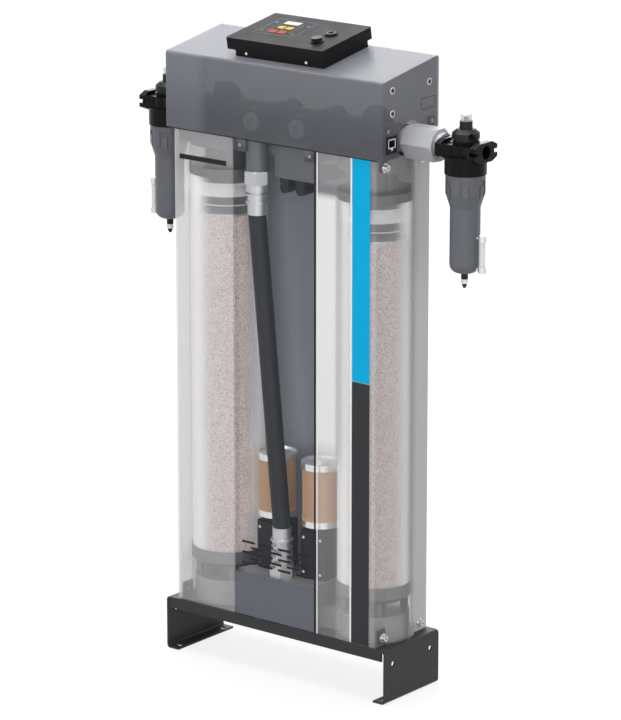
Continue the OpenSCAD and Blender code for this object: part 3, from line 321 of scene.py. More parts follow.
def panel_sheet(name, colour):
    """Lightly tinted, denser at the foot, with folds that don't hide what is behind them."""
    finish, cloud, (_, y, z) = tinted(name)
    foot = 1.0 - z.rise(*SHEET_FOOT)
    face = 1.0 - y.rise(*PANEL_FACE)
    return finish.wear(
        Base_Color=finish.tones(cloud, colour, *SHEET_TONES),
        Alpha=(PANEL_ALPHA + foot * (PANEL_FOOT_ALPHA - PANEL_ALPHA)) * face,
    )


# the second colour is the painted light at the hood's top
hood_grey = hood_sheet("hood_grey", linear(96, 98, 105), linear(119, 121, 129))
inlet_sheet = cover_sheet("inlet_sheet", linear(236, 236, 237))
outlet_sheet = cover_sheet("outlet_sheet", linear(236, 236, 237), strip=True)
panel_tint = panel_sheet("panel_tint", linear(106, 110, 118))
print("tinted sheets ready")

# %% [markdown]
# ## Metal
# Castings are grainy and dull. Turned steel is smooth, with a little cloud in its shine: bright on the silencers and
# satin on the pipe fittings. The towers' top caps are cast, with a painted highlight in a near-white band round the
# waist between two heights.

# %% Metal finishes
CAST_METAL = 0.35
GRAIN_SCALE, GRAIN_DEPTH = 420.0, 0.0004
PATCH_SCALE = 24.0
STEEL_CLOUD_SCALE = 40.0
UNEVEN_GRAIN = 0.2
# Heights of a painted highlight band round the top caps' waist.
PAINTED_WAIST_BAND = (0.771, 0.793)
PAINTED_WAIST_EDGE = 0.001


def cast(name, colour, roughness=0.5):
    finish = Finish(name, Metallic=CAST_METAL)
    grain = finish.noise(GRAIN_SCALE, 3.0)
    patch = finish.noise(PATCH_SCALE)
    return finish.wear(
        Base_Color=finish.tones(patch, colour, 0.86, 1.08),
        Roughness=roughness + (grain - 0.5) * UNEVEN_GRAIN,
        Normal=finish.bump(grain, 0.3, GRAIN_DEPTH),
    )


def cap_with_painted_waist(name, colour, bright):
    finish = Finish(name, Metallic=CAST_METAL)
    grain = finish.noise(GRAIN_SCALE, 3.0)
    z = finish.axes()[2]
    above_low, above_high = (z.rise(height - PAINTED_WAIST_EDGE, height + PAINTED_WAIST_EDGE) for height in PAINTED_WAIST_BAND)
    return finish.wear(
        # painted highlight: a near-white band round the waist
        Base_Color=finish.mix(above_low * (1.0 - above_high), colour, bright),
        Roughness=0.4 + (grain - 0.5) * UNEVEN_GRAIN,
        Normal=finish.bump(grain, 0.2, GRAIN_DEPTH),
    )


def turned(name, colour, roughness=0.28, metallic=0.8):
    finish = Finish(name, Metallic=metallic)
    cloud = finish.noise(STEEL_CLOUD_SCALE)
    return finish.wear(
        Base_Color=finish.tones(cloud, colour, 0.95, 1.0),
        Roughness=roughness + cloud * 0.1,
    )


cast_grey = cast("cast_grey", linear(150, 150, 152))
cast_cap = cast("cast_cap", linear(112, 112, 114), 0.4)
cast_dark = cast("cast_dark", linear(104, 106, 110))
# the light second colour is the painted highlight at the waist
top_cap = cap_with_painted_waist("top_cap", linear(92, 92, 94), linear(240, 240, 240))
steel = turned("steel", linear(205, 206, 208))
bright_steel = turned("bright_steel", linear(246, 246, 247), 0.13, metallic=0.75)
satin_steel = turned("satin_steel", linear(174, 175, 178), 0.4, metallic=0.2)
dark_steel = turned("dark_steel", linear(120, 121, 124), 0.3)
brass = turned("brass", linear(200, 160, 95))
print("metals ready")

# %% [markdown]
# ## Plastic, rubber and film
# Moulded plastic has a very fine texture and a cloudy tone. With other numbers the same finish serves for the hose's
# rubber, the zinc plugs, the paper of the filter elements and, later, for printed film.

# %% Moulded finishes
PORE_SCALE, PORE_DEPTH = 1500.0, 0.0002
PLASTIC_CLOUD_SCALE = 30.0


def moulded(name, colour, roughness=0.45, texture=0.15, shine=0.45):
    finish = Finish(name, Specular_IOR_Level=shine)
    pores = finish.noise(PORE_SCALE, 1.0)
    cloud = finish.noise(PLASTIC_CLOUD_SCALE)
    return finish.wear(
        Base_Color=finish.tones(cloud, colour, 0.9, 1.06),
        Roughness=roughness + (cloud - 0.5) * 0.14,
        Normal=finish.bump(pores, texture, PORE_DEPTH),
    )


black_plastic = moulded("black_plastic", linear(25, 25, 27), shine=0.2)
lid_black = moulded("lid_black", linear(21, 21, 23), 0.55, 0.3, shine=0.1)
hose_rubber = moulded("hose_rubber", linear(30, 32, 35), 0.5, 0.02, shine=0.25)
zinc = moulded("zinc", linear(244, 245, 246), 0.4, 0.05)
seal_white = moulded("seal_white", linear(214, 214, 212), 0.5)
element_paper = moulded("element_paper", linear(222, 214, 190), 0.7)
mesh_tan = moulded("mesh_tan", linear(207, 170, 138), 0.5, 0.05)
pin_red = moulded("pin_red", linear(134, 74, 68), 0.3)
print("moulded finishes ready")

# %% [markdown]
# ## Clear pieces
# The pressure tubes are drawn as thin clear shells, and the filters have a clear dome and a clear sight tube. Clear
# walls look milky where the eye meets them at a glancing angle, so the alpha grows towards the edges. On the tubes
# these milky edges also glow a little, a painted light, as the wall is no lamp.

# %% Clear finishes
RIPPLE_SCALE = 6.0


def clear(name, colour, alpha, milk, edge_from=0.0, edge_to=1.0, glow=0.0):
    """Clear wall; the milk comes in between two facing values, and there it can glow a little as painted light."""
    finish = Finish(name, Specular_IOR_Level=0.6, Emission_Strength=glow)
    ripple = finish.noise(RIPPLE_SCALE)
    facing = Field(finish, finish.add("ShaderNodeLayerWeight", inputs={"Blend": 0.5}).outputs["Facing"])
    edge = facing.rise(edge_from, edge_to)
    return finish.wear(
        Base_Color=finish.tones(ripple, colour, 0.97, 1.0),
        Roughness=0.08 + ripple * 0.04,
        Alpha=alpha + edge * milk,
        # painted light: the milky edges glow, though the wall is no lamp
        Emission_Color=finish.mix(edge, (0.0, 0.0, 0.0), colour),
    )


# the tubes' milky edges get a painted glow
tube_clear = clear("tube_clear", linear(246, 246, 246), 0.03, 0.72, 0.08, 0.5, glow=0.2)
dome_clear = clear("dome_clear", linear(240, 240, 242), 0.2, 0.4)
sight_clear = clear("sight_clear", linear(240, 241, 242), 0.4, 0.4)
print("clear finishes ready")

# %% [markdown]
# ## Dressing the CAD nodes
# Each CAD node keeps its mesh and gets its finish by name. A ray of light can only pass a few clear walls, so the
# panel and the tubes, which are the clearest, cast no shadow on what stands behind them.

# %% Finishes by node
DRESS = {
    stand_black: ["base_frame"],
    hood_grey: ["hood"],
    inlet_sheet: ["left_cover"],
    outlet_sheet: ["right_cover"],
    panel_tint: ["front_panel"],
    rear_slate: ["rear_panel"],
    steel: [
        "cover_screws", "bed_screens", "left_exhaust_plunger", "right_exhaust_plunger", "inlet_drain_knob",
        "outlet_drain_knob", "sight_fittings", "hose_top_fitting", "hose_low_fitting", "hose_nuts",
    ],
    dark_steel: ["panel_screws", "hood_screws"],
    bright_steel: ["left_silencer_foot", "right_silencer_foot", "left_silencer_cap", "right_silencer_cap"],
    satin_steel: ["inlet_nipple", "outlet_adapter"],
    tube_clear: ["left_tube", "right_tube"],
    cast_grey: ["lower_manifold"],
    cast_cap: ["left_bottom_cap", "right_bottom_cap"],
    top_cap: ["left_top_cap", "right_top_cap"],
    cast_dark: ["top_manifold"],
    seal_white: ["tube_seals"],
    zinc: ["valve_plugs"],
    brass: ["left_check_poppet", "right_check_poppet"],
    mesh_tan: ["left_silencer_mesh", "right_silencer_mesh"],
    black_plastic: [
        "pilot_valves", "left_exhaust_valve", "right_exhaust_valve", "indicator_turrets", "drain_stems",
        "push_button", "selector", "network_jack",
    ],
    lid_black: ["controller_lid", "controller_plinth"],
    hose_rubber: ["hose"],
    head_black: ["inlet_head", "outlet_head"],
    bowl_grey: ["inlet_bowl", "outlet_bowl"],
    element_paper: ["filter_elements"],
    dome_clear: ["indicator_domes"],
    sight_clear: ["sight_tubes"],
    pin_red: ["inlet_pin", "outlet_pin"],
}
for material, names in DRESS.items():
    for name in names:
        nodes[name].data.materials.clear()
        nodes[name].data.materials.append(material)
for name in ("front_panel", "left_tube", "right_tube"):
    nodes[name].visible_shadow = False
print("dressed:", sum(len(names) for names in DRESS.values()))

# %% [markdown]
# ## Building pieces
# A new piece is a plain mesh with its place in its vertices. `piece` makes the object, and `settle` tells the
# frame which body it rides on.

# %% Piece helpers
def piece(name, mesh_data, material):
    thing = bpy.data.objects.new(name, mesh_data)
    bpy.context.scene.collection.objects.link(thing)
    thing.data.materials.clear()
    thing.data.materials.append(material)
    return thing


def settle(thing, body="cabinet"):
    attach(thing, body)
    print(thing.name, "faces:", len(thing.data.polygons))


def from_bmesh(name, bm):
    data = bpy.data.meshes.new(name)
    bmesh.ops.recalc_face_normals(bm, faces=bm.faces)
    bm.to_mesh(data)
    bm.free()
    return data


print("piece helpers ready")

# %% [markdown]
# ## Tablets
# Films, keys, printed lines and small screw heads are all one shape: a rounded rectangle with a little height. `slab`
# gives the place and size of one, and `tablets` makes one piece of several, set down on a plane by a matrix.

# %% Tablet helpers
CORNER_STEPS = 5


def tablet(bm, width, depth, height, radius, place):
    """One tablet, set down by a matrix at the middle of its underside."""
    outline = []
    for quarter in range(4):
        sx = 1 if quarter in (0, 3) else -1
        sy = 1 if quarter in (0, 1) else -1
        for step in range(CORNER_STEPS):
            turn = math.pi / 2 * (quarter + step / (CORNER_STEPS - 1))
            outline.append(Vector((
                sx * (width / 2 - radius) + radius * math.cos(turn),
                sy * (depth / 2 - radius) + radius * math.sin(turn),
                0.0,
            )))
    low = [bm.verts.new(place @ (p * MM)) for p in outline]
    high = [bm.verts.new(place @ ((p + Vector((0, 0, height))) * MM)) for p in outline]
    bm.faces.new(low[::-1])
    bm.faces.new(high)
    for i in range(len(low)):
        j = (i + 1) % len(low)
        bm.faces.new((low[i], low[j], high[j], high[i]))


def slab(x, y, width, depth, height=0.2, radius=0.3, lift=0.0):
    """Middle and size of one tablet, in millimetres."""
    return x, y, width, depth, height, radius, lift


def frame_bars(x, y, width, depth, line, height, inset=0.0):
    """Four thin tablets round a middle; the upright ones can stand a little further in."""
    rails = [slab(x, y + side * depth / 2, width, line, height) for side in (-1, 1)]
    posts = [slab(x + side * (width / 2 - inset), y, line, depth, height) for side in (-1, 1)]
    return rails + posts


def tablets(name, material, slabs, place):
    """One piece made of several tablets."""
    bm = bmesh.new()
    for x, y, width, depth, height, radius, lift in slabs:
        spot = place @ Matrix.Translation(Vector((x, y, lift)) * MM)
        tablet(bm, width, depth, height, radius, spot)
    settle(piece(name, from_bmesh(name, bm), material))


def front_plane(y):
    """A plane that looks to the front, with width and height as its own axes."""
    return Matrix.Translation(Vector((0, y, 0)) * MM) @ Matrix.Rotation(math.pi / 2, 4, "X")


def outlet_plane(x):
    """A plane that looks to the outlet side, with depth and height as its own axes."""
    return Matrix((
        (0.0, 0.0, 1.0, x * MM),
        (1.0, 0.0, 0.0, 0.0),
        (0.0, 1.0, 0.0, 0.0),
        (0.0, 0.0, 0.0, 1.0),
    ))


print("tablet helpers ready")

# %% [markdown]
# ## Geometry Nodes, built in the script
# What repeats is made by a small node tree. `Tree` adds nodes by type and links them by name, and `grown` runs the
# tree once, keeps the result as a plain mesh and removes the modifier.

# %% Geometry Nodes helpers
class Tree:
    """A geometry node group with named inputs."""

    def __init__(self, name, sizes):
        self.group = bpy.data.node_groups.new(name, "GeometryNodeTree")
        face = self.group.interface
        face.new_socket("Geometry", in_out="INPUT", socket_type="NodeSocketGeometry")
        self.values = {}
        for key, value in sizes.items():
            kind = "NodeSocketInt" if isinstance(value, int) else "NodeSocketFloat"
            self.values[face.new_socket(key, in_out="INPUT", socket_type=kind).identifier] = value
        face.new_socket("Geometry", in_out="OUTPUT", socket_type="NodeSocketGeometry")
        self.entry = self.group.nodes.new("NodeGroupInput")

    def add(self, kind, settings=None, inputs=None):
        node = self.group.nodes.new(kind)
        for key, value in (settings or {}).items():
            setattr(node, key, value)
        for key, value in (inputs or {}).items():
            if isinstance(value, bpy.types.NodeSocket):
                self.group.links.new(value, node.inputs[key])
            else:
                node.inputs[key].default_value = value
        return node

    def size(self, key):
        return self.entry.outputs[key]

    def join(self, *geometries):
        node = self.add("GeometryNodeJoinGeometry")
        for geometry in geometries:
            self.group.links.new(geometry, node.inputs[0])
        return node.outputs[0]

    def end(self, geometry, material):
        solid = self.add("GeometryNodeRealizeInstances", inputs={"Geometry": geometry}).outputs[0]
        painted = self.add("GeometryNodeSetMaterial", inputs={"Geometry": solid, "Material": material}).outputs[0]
        leave = self.group.nodes.new("NodeGroupOutput")
        self.group.links.new(painted, leave.inputs[0])


def grown(name, tree, seed_mesh, material):
    host = bpy.data.objects.new(name + "_host", seed_mesh)
    bpy.context.scene.collection.objects.link(host)
    modifier = host.modifiers.new("grow", "NODES")
    modifier.node_group = tree.group
    for identifier, value in tree.values.items():
        modifier[identifier] = value
    bpy.context.view_layer.update()
    shape = bpy.data.meshes.new_from_object(host.evaluated_get(bpy.context.evaluated_depsgraph_get()))
    shape.name = name
    host.modifiers.clear()
    bpy.data.objects.remove(host)
    return piece(name, shape, material)


print("geometry node helpers ready")

# %% [markdown]
# ## The desiccant beds
# The towers are filled with small round beads, pale with a pinkish cast, and some are darker than others. Thousands
# of beads are scattered over the wall of a core just inside the clear tube, and the core itself is bumped in the same
# pattern. Only the outer layer is made, because nothing deeper can be seen.

# %% Bead finish
BEAD_CELLS = 540.0
bead_finish = Finish("beads", Specular_IOR_Level=0.3)
bead_cells = bead_finish.add("ShaderNodeTexVoronoi", inputs={"Vector": bead_finish.place, "Scale": BEAD_CELLS})
bead_gap = Field(bead_finish, bead_cells.outputs["Distance"])
bead_tone = Field(bead_finish, bead_finish.add(
    "ShaderNodeSeparateColor", inputs={"Color": bead_cells.outputs["Color"]}).outputs[0])
bead_colour = bead_finish.add("ShaderNodeValToRGB", {"stops": [
    (0.0, linear(184, 166, 162)),
    (0.4, linear(223, 208, 204)),
    (1.0, linear(243, 232, 228)),
]}, {"Fac": bead_tone}).outputs["Color"]
beads = bead_finish.wear(
    Base_Color=bead_colour,
    Roughness=0.6 + bead_tone * 0.2,
    Normal=bead_finish.bump(1.0 - bead_gap, 0.25, 0.001),
)
print("bead finish ready")

# %% Bead layers
TUBE_INNER = 57.2
BEAD_R = 1.4
CORE_R = TUBE_INNER - BEAD_R
CORE_SIDES = 64
BEAD_DENSITY = 42000.0
BEAD_SEEDS = {"left": 7, "right": 11}


def bead_layer(side, seed):
    low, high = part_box(side + "_bed")
    middle = (low + high) / 2
    bm = bmesh.new()
    wall = bmesh.ops.create_cone(
        bm, cap_ends=True, segments=CORE_SIDES, radius1=CORE_R * MM, radius2=CORE_R * MM, depth=high.z - low.z)
    bmesh.ops.translate(bm, verts=wall["verts"], vec=middle)
    core = from_bmesh(side + "_bed_core", bm)
    tree = Tree(side + "_beads", {"density": BEAD_DENSITY, "bead": BEAD_R * MM, "seed": seed})
    points = tree.add("GeometryNodeDistributePointsOnFaces", inputs={
        "Mesh": tree.entry.outputs[0], "Density": tree.size("density"), "Seed": tree.size("seed")}).outputs
    ball = tree.add("GeometryNodeMeshIcoSphere", inputs={"Radius": tree.size("bead"), "Subdivisions": 1})
    strewn = tree.add("GeometryNodeInstanceOnPoints", inputs={
        "Points": points["Points"], "Instance": ball.outputs["Mesh"], "Rotation": points["Rotation"]})
    tree.end(tree.join(tree.entry.outputs[0], strewn.outputs[0]), beads)
    layer = grown(side + "_beads", tree, core, beads)
    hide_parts(side + "_bed")
    settle(layer)


for side, seed in BEAD_SEEDS.items():
    bead_layer(side, seed)

# %% [markdown]
# ## Wire cloth on the silencers
# Each silencer is a wire cloth rolled round a core: close upright wires with thin bands across them. One tree puts a
# line at every angle and a circle at every height, and gives both the thickness of a wire.

# %% Wire cloth
WIRES, BANDS = 72, 15
WIRE_R = 0.0005
WIRE_STANDOFF = 0.0002
WIRE_SIDES, BAND_SIDES = 4, 48
wire = turned("wire", linear(212, 178, 148), 0.35)


def spaced(tree, count, step):
    """Points on one spot, and a number for each that grows by the step."""
    points = tree.add("GeometryNodePoints", inputs={"Count": count}).outputs[0]
    number = tree.add("GeometryNodeInputIndex").outputs[0]
    grow = tree.add("ShaderNodeMath", {"operation": "MULTIPLY"}, {0: number, 1: step}).outputs[0]
    return points, grow


def wire_cloth(side):
    low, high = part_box(side + "_silencer_mesh")
    middle = (low + high) / 2
    tall = high.z - low.z
    tree = Tree(side + "_cloth", {
        "radius": (high.x - low.x) / 2 + WIRE_STANDOFF, "wires": WIRES, "bands": BANDS, "thickness": WIRE_R,
        "wire step": 2 * math.pi / WIRES, "band step": tall / (BANDS - 1)})
    foot = tree.add("ShaderNodeCombineXYZ", inputs={"X": tree.size("radius")}).outputs[0]
    head = tree.add("ShaderNodeCombineXYZ", inputs={"X": tree.size("radius"), "Z": tall}).outputs[0]
    line = tree.add("GeometryNodeCurvePrimitiveLine", inputs={"Start": foot, "End": head}).outputs[0]
    points, angle = spaced(tree, tree.size("wires"), tree.size("wire step"))
    turn = tree.add("ShaderNodeCombineXYZ", inputs={"Z": angle}).outputs[0]
    uprights = tree.add("GeometryNodeInstanceOnPoints", inputs={
        "Points": points, "Instance": line, "Rotation": turn}).outputs[0]
    circle = tree.add("GeometryNodeCurvePrimitiveCircle", inputs={
        "Resolution": BAND_SIDES, "Radius": tree.size("radius")}).outputs[0]
    points, height = spaced(tree, tree.size("bands"), tree.size("band step"))
    lift = tree.add("ShaderNodeCombineXYZ", inputs={"Z": height}).outputs[0]
    stack = tree.add("GeometryNodeSetPosition", inputs={"Geometry": points, "Offset": lift}).outputs[0]
    rounds = tree.add("GeometryNodeInstanceOnPoints", inputs={"Points": stack, "Instance": circle}).outputs[0]
    lines = tree.add("GeometryNodeRealizeInstances", inputs={"Geometry": tree.join(uprights, rounds)}).outputs[0]
    section = tree.add("GeometryNodeCurvePrimitiveCircle", inputs={
        "Resolution": WIRE_SIDES, "Radius": tree.size("thickness")}).outputs[0]
    thick = tree.add("GeometryNodeCurveToMesh", inputs={
        "Curve": lines, "Profile Curve": section, "Fill Caps": True}).outputs[0]
    moved = tree.add("GeometryNodeTransform", inputs={
        "Geometry": thick, "Translation": Vector((middle.x, middle.y, low.z))}).outputs[0]
    tree.end(moved, wire)
    settle(grown(side + "_cloth", tree, bpy.data.meshes.new(side + "_cloth_seed"), wire))


for side in ("left", "right"):
    wire_cloth(side)

# %% [markdown]
# ## Printed fields, painted shadows and a painted highlight on the sheet metal
# A tall stripe runs up the outlet cover, bright blue above and charcoal below, with a pale edge. One plain dark bar
# sits at the top of the inlet cover. Along the outlet cover the front panel has a dark line, a painted shadow of the
# gap there, and the cover's edge beside it has a pale line, a painted highlight. A dark line under the hood is a
# painted shadow too. All are thin films on the front face.

# %% Cover films
FRONT_Y = -67.0
STRIPE_LEFT, STRIPE_RIGHT = 155.5, 190.0
STRIPE_X = (STRIPE_LEFT + STRIPE_RIGHT) / 2
STRIPE_W = STRIPE_RIGHT - STRIPE_LEFT
STRIPE_FOOT, STRIPE_SPLIT, STRIPE_TOP = 90.0, 520.0, 876.0
STRIPE_GAP = 1.0
film_blue = moulded("film_blue", linear(0, 174, 226), 0.4, 0.03, shine=0.15)
film_charcoal = moulded("film_charcoal", linear(46, 47, 50), 0.34, 0.03, shine=0.2)
film_black = moulded("film_black", linear(24, 24, 26), 0.3, 0.03, shine=0.2)
film_white = moulded("film_white", linear(244, 244, 243), 0.35, 0.03)


def upright(x, width, low, high, radius=0.3):
    return slab(x, (low + high) / 2, width, high - low, radius=radius)


FILMS = {
    "stripe_blue": (film_blue, "cover", upright(STRIPE_X, STRIPE_W, STRIPE_SPLIT, STRIPE_TOP, 0.5)),
    "stripe_charcoal": (
        film_charcoal, "cover", upright(STRIPE_X, STRIPE_W, STRIPE_FOOT, STRIPE_SPLIT - STRIPE_GAP, 0.5)),
    "stripe_edge": (film_white, "cover", upright(STRIPE_X - 19.6, 3.2, STRIPE_FOOT, STRIPE_TOP)),
    "cover_bar": (film_black, "black_sheet", slab(-145.0, 832.0, 96.0, 8.0, radius=1.0)),
    # painted shadow: a dark line where the panel meets the outlet cover
    "panel_painted_shadow": (film_black, "seal", upright(81.6, 3.4, 90.5, 876.5)),
    # painted shadow: a dark line under the hood
    "hood_painted_shadow": (film_black, "seal", slab(0.0, 876.6, 406.0, 2.8, height=0.3)),
    # painted highlight: a pale line on the outlet cover's edge
    "cover_painted_highlight": (film_white, "cover", upright(86.0, 2.2, 89.5, 877.5)),
}
for name, (material, slot_name, film) in FILMS.items():
    tablets(name, material, [film], front_plane(FRONT_Y))

# %% [markdown]
# ## Painted shade in the vents
# Dark films fill the vent slots of the front panel as painted shade, so the slots read black against the tinted
# sheet. Rows of four and three take turns.

# %% Vent painted shade
VENT_W, VENT_H = 27.0, 4.0
VENT_PITCH, VENT_ROW, VENT_LOW = 36.8, 8.8, 179.0
VENT_COUNTS = (4, 3, 4, 3, 4)
VENT_SHADE_GAP, VENT_SHADE_DEPTH, VENT_SHADE_R, VENT_SHADE_LIFT = 0.4, 0.9, 1.79, -1.2
# dark films set into the slots as painted shade
vent_shades = [
    slab((i - (count - 1) / 2) * VENT_PITCH, VENT_LOW + row * VENT_ROW,
         VENT_W - VENT_SHADE_GAP, VENT_H - VENT_SHADE_GAP, VENT_SHADE_DEPTH, VENT_SHADE_R, VENT_SHADE_LIFT)
    for row, count in enumerate(VENT_COUNTS) for i in range(count)
]
tablets("vent_painted_shade", film_black, vent_shades, front_plane(FRONT_Y))

# %% [markdown]
# ## Small things on the hood and the valves
# On the outlet side of the hood the cable holes have rims coloured near white, partly as a painted highlight, and
# dark discs in the holes as painted shade; a thin line frames the place of a label, which stays bare, and a pale
# outline marks the network socket. The exhaust valves carry pale screw heads.

# %% Hood side
HOOD_SIDE = 216.3
SOCKET_PLATE = 1.2
SOCKET_Y, SOCKET_Z = -49.0, 903.0
GLANDS = [(-47.0, 949.0), (-47.0, 985.0), (47.0, 985.0)]
RIM_D, HOLE_SHADE_D = 11.0, 7.6
side_plane = outlet_plane(HOOD_SIDE)
# real rims, coloured near white partly as a painted highlight
rims_and_highlights = [slab(y, z, RIM_D, RIM_D, height=0.5, radius=5.4) for y, z in GLANDS]
# dark discs in the holes are painted shade
hole_shades = [slab(y, z, HOLE_SHADE_D, HOLE_SHADE_D, height=0.8, radius=3.7) for y, z in GLANDS]
socket_lines = frame_bars(SOCKET_Y, SOCKET_Z, 18.0, 13.0, line=1.4, height=0.1, inset=0.7)
socket_lines.append(slab(SOCKET_Y, SOCKET_Z - 9.0, 4.0, 3.2, height=0.1))
tablets("gland_rims_and_highlights", zinc, rims_and_highlights, side_plane)
tablets("gland_painted_shade", film_black, hole_shades, side_plane)
tablets("label_frame", film_charcoal, frame_bars(45.0, 952.5, 36.0, 17.0, line=0.8, height=0.1), side_plane)
tablets("socket_outline", film_white, socket_lines, outlet_plane(HOOD_SIDE + SOCKET_PLATE))

# %% Valve screws
VALVE_FRONT = -29.0
VALVE_SCREW_D = 4.6
VALVE_SCREW_X, VALVE_SCREW_Z = (-62.0, -28.0, 28.0, 62.0), (172.0, 230.0)
valve_screws = [
    slab(x, z, VALVE_SCREW_D, VALVE_SCREW_D, height=2.2, radius=2.2, lift=-1.9)
    for x in VALVE_SCREW_X for z in VALVE_SCREW_Z
]
tablets("valve_screws", film_white, valve_screws, front_plane(VALVE_FRONT))

# %% [markdown]
# ## The controller's key field
# A printed film on the lid carries a small display, two yellow and two red keys, blue and green lamps, and thin
# pale flow lines. Two screws hold the plinth in front. All of it lies on the sloping lid or square to it, so one
# matrix carries everything there.

# %% Key finishes
key_yellow, key_red, lamp_blue, lamp_green = (
    moulded(name, colour, 0.5, 0.05, shine=0.1) for name, colour in (
        ("key_yellow", linear(178, 150, 20)),
        ("key_red", linear(150, 30, 30)),
        ("lamp_blue", linear(12, 92, 140)),
        ("lamp_green", linear(80, 136, 44)),
    ))
display_pale = moulded("display_pale", linear(176, 177, 176), 0.4, 0.02, shine=0.1)
line_grey = moulded("line_grey", linear(112, 114, 114), 0.5, 0.03, shine=0.1)
print("key finishes ready")

# %% Key field
HOOD_FRONT_Y, HOOD_FRONT_Z = -71.5, 1000.0
HOOD_SLOPE = math.atan2(24.0, 143.0)
LID_TOP = 29.0
lid_top = (
    Matrix.Translation(Vector((0, HOOD_FRONT_Y, HOOD_FRONT_Z)) * MM)
    @ Matrix.Rotation(HOOD_SLOPE, 4, "X")
    @ Matrix.Translation(Vector((0, 0, LID_TOP)) * MM)
)
FIELD_X, FIELD_Y = -40.0, 91.0
PLATE = 0.8
LINE, LINE_HEIGHT = 0.8, 0.2
flow_lines = frame_bars(FIELD_X, FIELD_Y, 76.0, 68.0, LINE, LINE_HEIGHT)
flow_lines += [slab(x, FIELD_Y, LINE, 40.0, LINE_HEIGHT) for x in (-62.0, -19.0)]
tablets("key_film", lid_black, [
    slab(FIELD_X, FIELD_Y, 95.4, 77.4, PLATE, radius=2.0, lift=-PLATE)], lid_top)
tablets("display", display_pale, [slab(-43.0, 113.0, 30.0, 13.0, height=0.3, radius=1.0)], lid_top)
tablets("keys_yellow", key_yellow, [
    slab(x, 91.0, 13.0, 11.0, height=0.5, radius=2.0) for x in (-48.5, -32.5)], lid_top)
tablets("keys_red", key_red, [
    slab(x, 71.0, 14.0, 12.0, height=0.5, radius=2.0) for x in (-50.5, -32.5)], lid_top)
tablets("lamps_blue", lamp_blue, [
    slab(x, 107.0, 7.0, 7.0, height=0.4, radius=2.0) for x in (-71.0, -8.0)], lid_top)
tablets("lamps_green", lamp_green, [
    slab(-70.0, 68.0, 4.0, 4.0, height=0.5, radius=1.9),
    slab(-10.0, 68.0, 4.0, 4.0, height=0.5, radius=1.9),
    slab(-41.0, 82.0, 3.0, 3.0, height=0.5, radius=1.4),
], lid_top)
tablets("flow_lines", line_grey, flow_lines, lid_top)

# %% Plinth screws
PLINTH_FRONT, PLINTH_SCREW_Z = 21.0, 6.0 - LID_TOP
PLINTH_SCREW_X = (-67.6, 52.1)
PLINTH_SCREW_D = 4.4
plinth_screws = [
    slab(x, PLINTH_SCREW_Z, PLINTH_SCREW_D, PLINTH_SCREW_D, height=0.5, radius=2.1) for x in PLINTH_SCREW_X]
tablets("plinth_screws", film_white, plinth_screws, lid_top @ front_plane(PLINTH_FRONT))

# %% [markdown]
# ## Floor and background
# The floor is grey for the light that falls on it, so it throws little back and still takes the object's shadow. To
# rays that come from the eye, from a mirror or through glass it also glows, and the world behind it is white, so the
# background looks white in the picture and in the metal.

# %% Floor
BACKGROUND_RAYS = ("Is Camera Ray", "Is Glossy Ray", "Is Transmission Ray")
FLOOR_SIZE = 40.0
FLOOR_DROP = 0.0005
FLOOR_GREY = (0.2, 0.2, 0.2)
FLOOR_GLOW, FAR_GLOW = 0.8, 0.13
FLOOR_FADE = (0.5, 2.5)
bpy.context.scene.view_settings.view_transform = "Standard"
bpy.ops.mesh.primitive_plane_add(size=FLOOR_SIZE, location=(0, 0, -FLOOR_DROP))
floor = bpy.context.object
floor.name = "floor"
floor_finish = Finish("floor_white", Roughness=0.9, Base_Color=FLOOR_GREY, Specular_IOR_Level=0.0)
path = floor_finish.add("ShaderNodeLightPath")
seen, mirrored, through = (Field(floor_finish, path.outputs[kind]) for kind in BACKGROUND_RAYS)
shows = seen.at_least(mirrored).at_least(through)
away = floor_finish.add("ShaderNodeVectorMath", {"operation": "LENGTH"}, {0: floor_finish.place}).outputs["Value"]
far = Field(floor_finish, away).rise(*FLOOR_FADE)
glow = floor_finish.add("ShaderNodeEmission", inputs={
    "Color": (1.0, 1.0, 1.0), "Strength": shows * (FLOOR_GLOW + far * FAR_GLOW)})
both = floor_finish.add("ShaderNodeAddShader", inputs={0: floor_finish.shader.outputs[0], 1: glow.outputs[0]})
floor_finish.tree.links.new(both.outputs[0], floor_finish.tree.nodes["Material Output"].inputs["Surface"])
floor.data.materials.append(floor_finish.material)
print("floor ready")

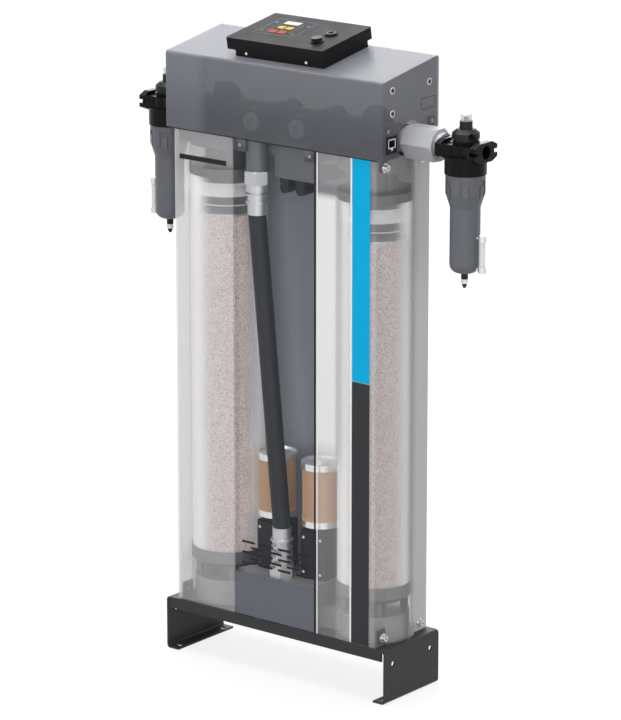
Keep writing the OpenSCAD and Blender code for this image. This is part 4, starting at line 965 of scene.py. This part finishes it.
# %% World
SKY_LIGHT = 0.5
SKY_WHITE = 1.0
world = bpy.data.worlds.new("studio")
bpy.context.scene.world = world
world.use_nodes = True
sky = world.node_tree


def plain_sky(node, strength):
    node.inputs["Color"].default_value = (1.0, 1.0, 1.0, 1.0)
    node.inputs["Strength"].default_value = strength
    return node.outputs[0]


def larger(first, second):
    node = sky.nodes.new("ShaderNodeMath")
    node.operation = "MAXIMUM"
    sky.links.new(first, node.inputs[0])
    sky.links.new(second, node.inputs[1])
    return node.outputs[0]


ray = sky.nodes.new("ShaderNodeLightPath")
seen, mirrored, through = (ray.outputs[kind] for kind in BACKGROUND_RAYS)
choose = sky.nodes.new("ShaderNodeMixShader")
sky.links.new(larger(larger(seen, mirrored), through), choose.inputs[0])
sky.links.new(plain_sky(sky.nodes["Background"], SKY_LIGHT), choose.inputs[1])
sky.links.new(plain_sky(sky.nodes.new("ShaderNodeBackground"), SKY_WHITE), choose.inputs[2])
sky.links.new(choose.outputs[0], sky.nodes["World Output"].inputs["Surface"])
print("world ready")

# %% [markdown]
# ## Lamps
# Five soft lamps look at the middle of the towers. The broad one above makes the hood's top its brightest face, two
# light the front from either side, a weak one at the outlet side leaves that face the darkest, and one behind keeps
# the back in view.

# %% Lamps
LAMP_AIM = Vector((0, 0, 0.5))
LAMPS = {
    "above": ((-0.4, 0.1, 3.4), 90.0, 2.4),
    "front": ((-0.6, -3.9, 1.9), 36.0, 2.4),
    "near_eye": ((2.5, -3.2, 1.5), 54.0, 2.0),
    "outlet_side": ((3.2, -0.9, 1.4), 14.0, 1.8),
    "behind": ((-2.0, 3.0, 2.6), 60.0, 2.4),
}
for name, (place, watts, size) in LAMPS.items():
    light = bpy.data.objects.new(name, bpy.data.lights.new(name, "AREA"))
    light.data.energy = watts
    light.data.size = size
    light.location = place
    light.rotation_mode = "QUATERNION"
    light.rotation_quaternion = (LAMP_AIM - Vector(place)).to_track_quat("-Z", "Y")
    bpy.context.scene.collection.objects.link(light)
print("lamps:", len(LAMPS))
